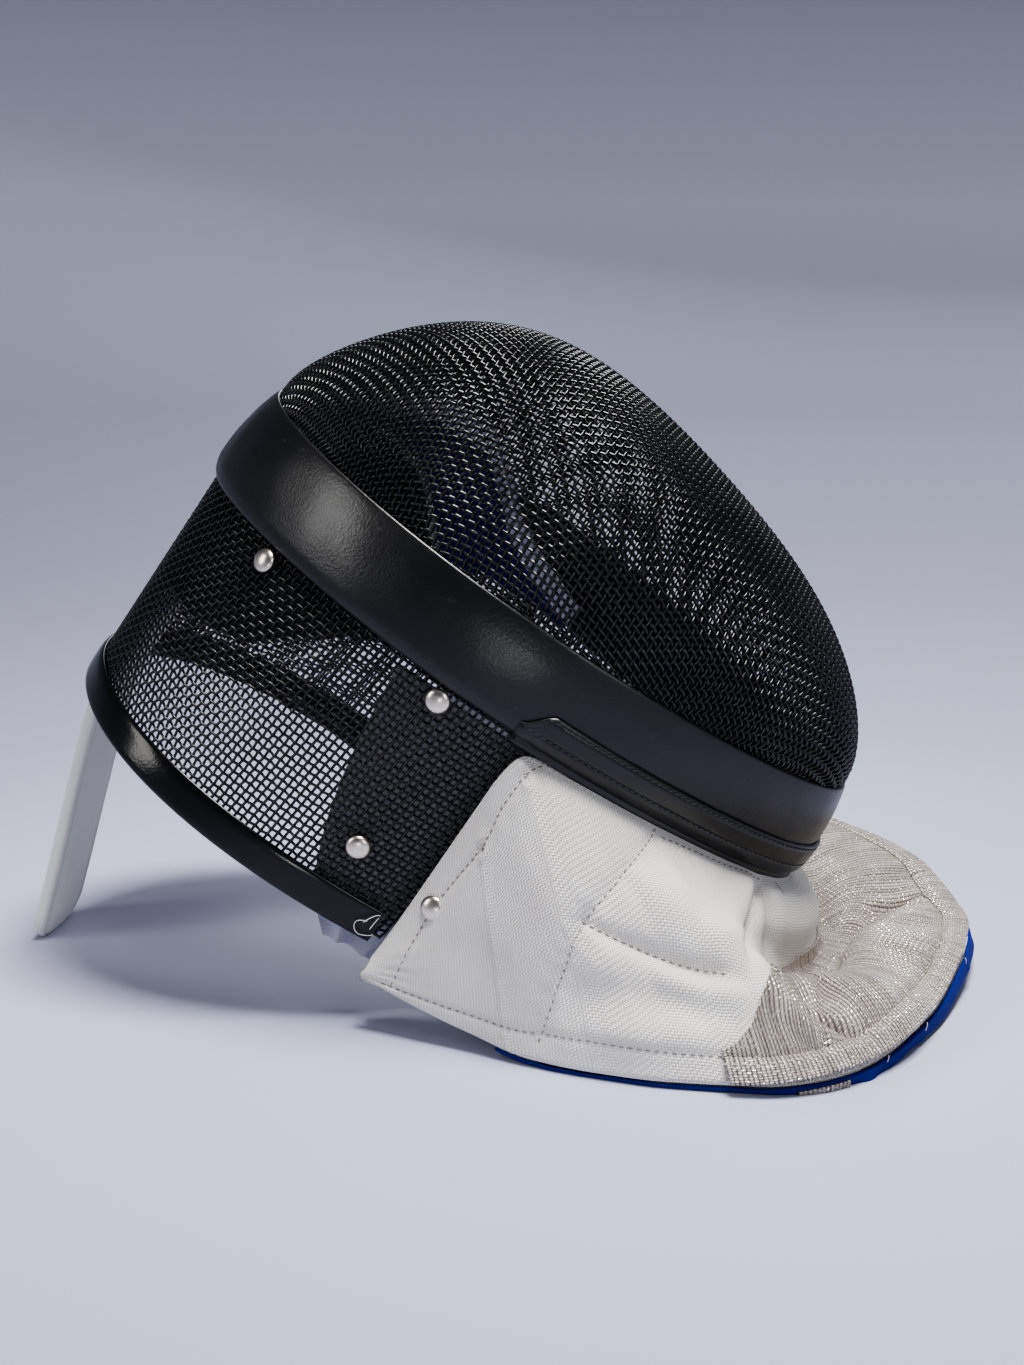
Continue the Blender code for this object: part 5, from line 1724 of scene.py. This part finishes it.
MIDDLE = (0.0, 0.0, 0.12)
Softbox = namedtuple("Softbox", "name place target size power colour")
SOFTBOXES = (
    Softbox("overhead softbox", (0.28, -0.12, 1.45), MIDDLE, (0.6, 0.45), 48, (1.0, 0.99, 0.97)),
    Softbox("right softbox", (1.1, -1.1, 0.8), MIDDLE, (0.5, 0.6), 5, (0.96, 0.98, 1.0)),
    Softbox("low front softbox", (0.10, -1.30, 0.07), (0.03, -0.1, 0.15), (0.22, 0.07), 1.0, (1.0, 1.0, 1.0)),
    Softbox("left softbox", (-1.3, -0.8, 0.9), MIDDLE, (0.4, 0.9), 8, (1.0, 0.98, 0.96)),
    Softbox("rear softbox", (0.2, 1.4, 0.9), MIDDLE, (1.4, 0.7), 10, (0.95, 0.97, 1.0)),
)
WORLD_COLOUR = (0.62, 0.66, 0.75, 1.0)
WORLD_STRENGTH = 0.12

CAMERA_PLACE = (0.1769, -0.8607, 0.3307)
CAMERA_TARGET = (0.0096, 0.0001, 0.1282)
CAMERA_LENS = 53.9


def make_stage():
    """A round floor that bends up into a wall, with light and shade painted on by how far it is from the
    middle.
    """
    bend = np.linspace(0.1, math.pi / 2, 18)
    profile = np.array([
        *((out, 0.0) for out in STAGE_FLAT),
        *((STAGE_FLAT[-1] + STAGE_BEND * math.sin(t), STAGE_BEND - STAGE_BEND * math.cos(t)) for t in bend),
        (STAGE_RADIUS, STAGE_HEIGHT),
    ])
    points = turned_profile(profile, 96)
    rows, count = points.shape[:2]
    i, j = np.meshgrid(np.arange(rows), np.arange(count - 1), indexing="ij")
    after = (i + 1) % rows
    quads = np.stack([i * count + j, after * count + j, after * count + j + 1, i * count + j + 1], -1)
    mesh = bpy.data.meshes.new("stage")
    mesh.from_pydata(points.reshape(-1, 3).tolist(), [], quads.reshape(-1, 4).tolist())
    mesh.shade_smooth()
    made, tree, shader = new_material("pale paper", roughness=0.85)
    away = put(tree, "ShaderNodeVectorMath", {0: object_place(tree)}, operation="LENGTH").outputs["Value"]
    ramp = put(tree, "ShaderNodeValToRGB", {"Fac": between(tree, away, 0.0, STAGE_RADIUS)})
    stops = ramp.color_ramp.elements
    for index, (at, colour) in enumerate(STAGE_PAINTED_LIGHT_COLOURS):
        stop = stops[index] if index < 2 else stops.new(at)
        stop.position = at
        stop.color = (*colour, 1.0)
    tree.links.new(ramp.outputs["Color"], shader.inputs["Base Color"])
    mesh.materials.append(made)
    new_piece("stage", mesh)


def aim(obj, place, target):
    """Stands a light or camera in the scene, turned to its target."""
    obj.location = place
    obj.rotation_euler = (Vector(target) - Vector(place)).to_track_quat("-Z", "Y").to_euler()
    bpy.context.scene.collection.objects.link(obj)


def make_lights():
    for box in SOFTBOXES:
        light = bpy.data.lights.new(box.name, "AREA")
        light.shape = "RECTANGLE"
        light.size, light.size_y = box.size
        light.energy = box.power
        light.color = box.colour
        obj = bpy.data.objects.new(box.name, light)
        obj.visible_camera = False
        aim(obj, box.place, box.target)
    world = bpy.data.worlds.new("studio")
    world.use_nodes = True
    background = world.node_tree.nodes["Background"].inputs
    background["Color"].default_value = WORLD_COLOUR
    background["Strength"].default_value = WORLD_STRENGTH
    bpy.context.scene.world = world
    bpy.context.scene.view_settings.look = "AgX - Medium High Contrast"


def make_camera():
    camera = bpy.data.cameras.new("camera")
    camera.lens = CAMERA_LENS
    obj = bpy.data.objects.new("camera", camera)
    aim(obj, CAMERA_PLACE, CAMERA_TARGET)
    bpy.context.scene.camera = obj


def main():
    weave_group, grain = cloth_group(), grain_group()
    wires, stitches, caps = wire_tree(), stitch_tree(), cap_tree()

    wire = metal_finish("black painted wire", (0.0035, 0.0035, 0.004), (0.010, 0.010, 0.011), (0.13, 0.22),
                        specular_ior_level=0.42)
    nickel = metal_finish("nickel", (0.74, 0.66, 0.58), (0.66, 0.59, 0.52), (0.24, 0.32), metallic=1.0)
    # Each leather's second colour paints streaks of sheen where it is lighter, and is wear where it is
    # darker.
    leather = leather_finish("black leatherette", grain, (0.0045, 0.0045, 0.005), (0.03, 0.03, 0.031),
                             (0.24, 0.40), 0.00006)
    gloss = leather_finish("black rim plastic", grain, (0.003, 0.003, 0.0033), (0.02, 0.02, 0.02),
                           (0.12, 0.22), 0.00003, specular_ior_level=0.35)
    cream = leather_finish("cream leatherette", grain, (0.72, 0.71, 0.66), (0.60, 0.57, 0.50),
                           (0.42, 0.6), 0.00008)
    # The tongue's faces: the sides' cloth in another tone, painted light and shade.
    tongue_face_painted_light = leather_finish("grey tongue cloth", grain, (0.82, 0.80, 0.77), (0.66, 0.64, 0.61),
                                 (0.6, 0.75), 0.00015)
    # The second colour of each cloth is painted shade between its threads.
    white = cloth_finish("white bib cloth", weave_group, (0.82, 0.795, 0.765), (0.46, 0.44, 0.42),
                         threads=780.0, depth=0.00045, roughness=0.85, sheen_weight=0.1)
    silver = cloth_finish("silver ribbed cloth", weave_group, (0.72, 0.655, 0.605), (0.09, 0.075, 0.063),
                          rib=0.60, depth=0.0008, gap=0.95, ribbed=0.5, glint=(1.0, 0.97, 0.93))
    blue = cloth_finish("blue cloth", weave_group, (0.003, 0.012, 0.19), (0.0015, 0.005, 0.07),
                        roughness=0.9, specular_ior_level=0.2)
    dark = cloth_finish("dark lining cloth", weave_group, (0.028, 0.030, 0.040), (0.010, 0.011, 0.016),
                        roughness=0.85)
    # The flaps' grey is painted shade of the pale lining cloth inside the shell.
    flap_cloth_painted_shade = cloth_finish("grey flap cloth", weave_group, (0.38, 0.38, 0.40), (0.20, 0.20, 0.22),
                              roughness=0.85)
    flap_lining = cloth_finish("pale lining cloth", weave_group, (0.42, 0.43, 0.52), (0.25, 0.26, 0.33),
                               roughness=0.8)
    binding = cloth_finish("pale binding", weave_group, (0.74, 0.77, 0.92), (0.45, 0.47, 0.58), roughness=0.8)
    black_thread = thread_finish("black thread", (0.06, 0.06, 0.062), 0.4)
    grey_thread = thread_finish("grey thread", (0.22, 0.20, 0.18), 0.8)
    white_thread = thread_finish("white thread", (0.80, 0.79, 0.77), 0.7)
    pale_thread = thread_finish("pale thread", (0.55, 0.52, 0.48), 0.7)

    make_front_wires(wire, wires)
    make_rear_wires(wire, wires)
    make_main_band(leather)
    make_strip(leather, black_thread, stitches)
    make_rear_trim(gloss)
    make_tongue(cream, tongue_face_painted_light)
    make_brow_lining(dark, blue, binding)
    make_side_linings(flap_cloth_painted_shade, flap_lining)
    make_bib(white)
    sheet, area, uv = make_bib_front(silver)
    hem, sewing = make_hem(silver, pale_thread, stitches)
    make_blue_edge(blue)
    make_hem_tab(silver)
    make_bib_stitches(grey_thread, stitches)
    make_loose_threads(white_thread, wires)
    make_rivets(nickel, caps)
    make_stage()
    make_lights()
    make_camera()


main()
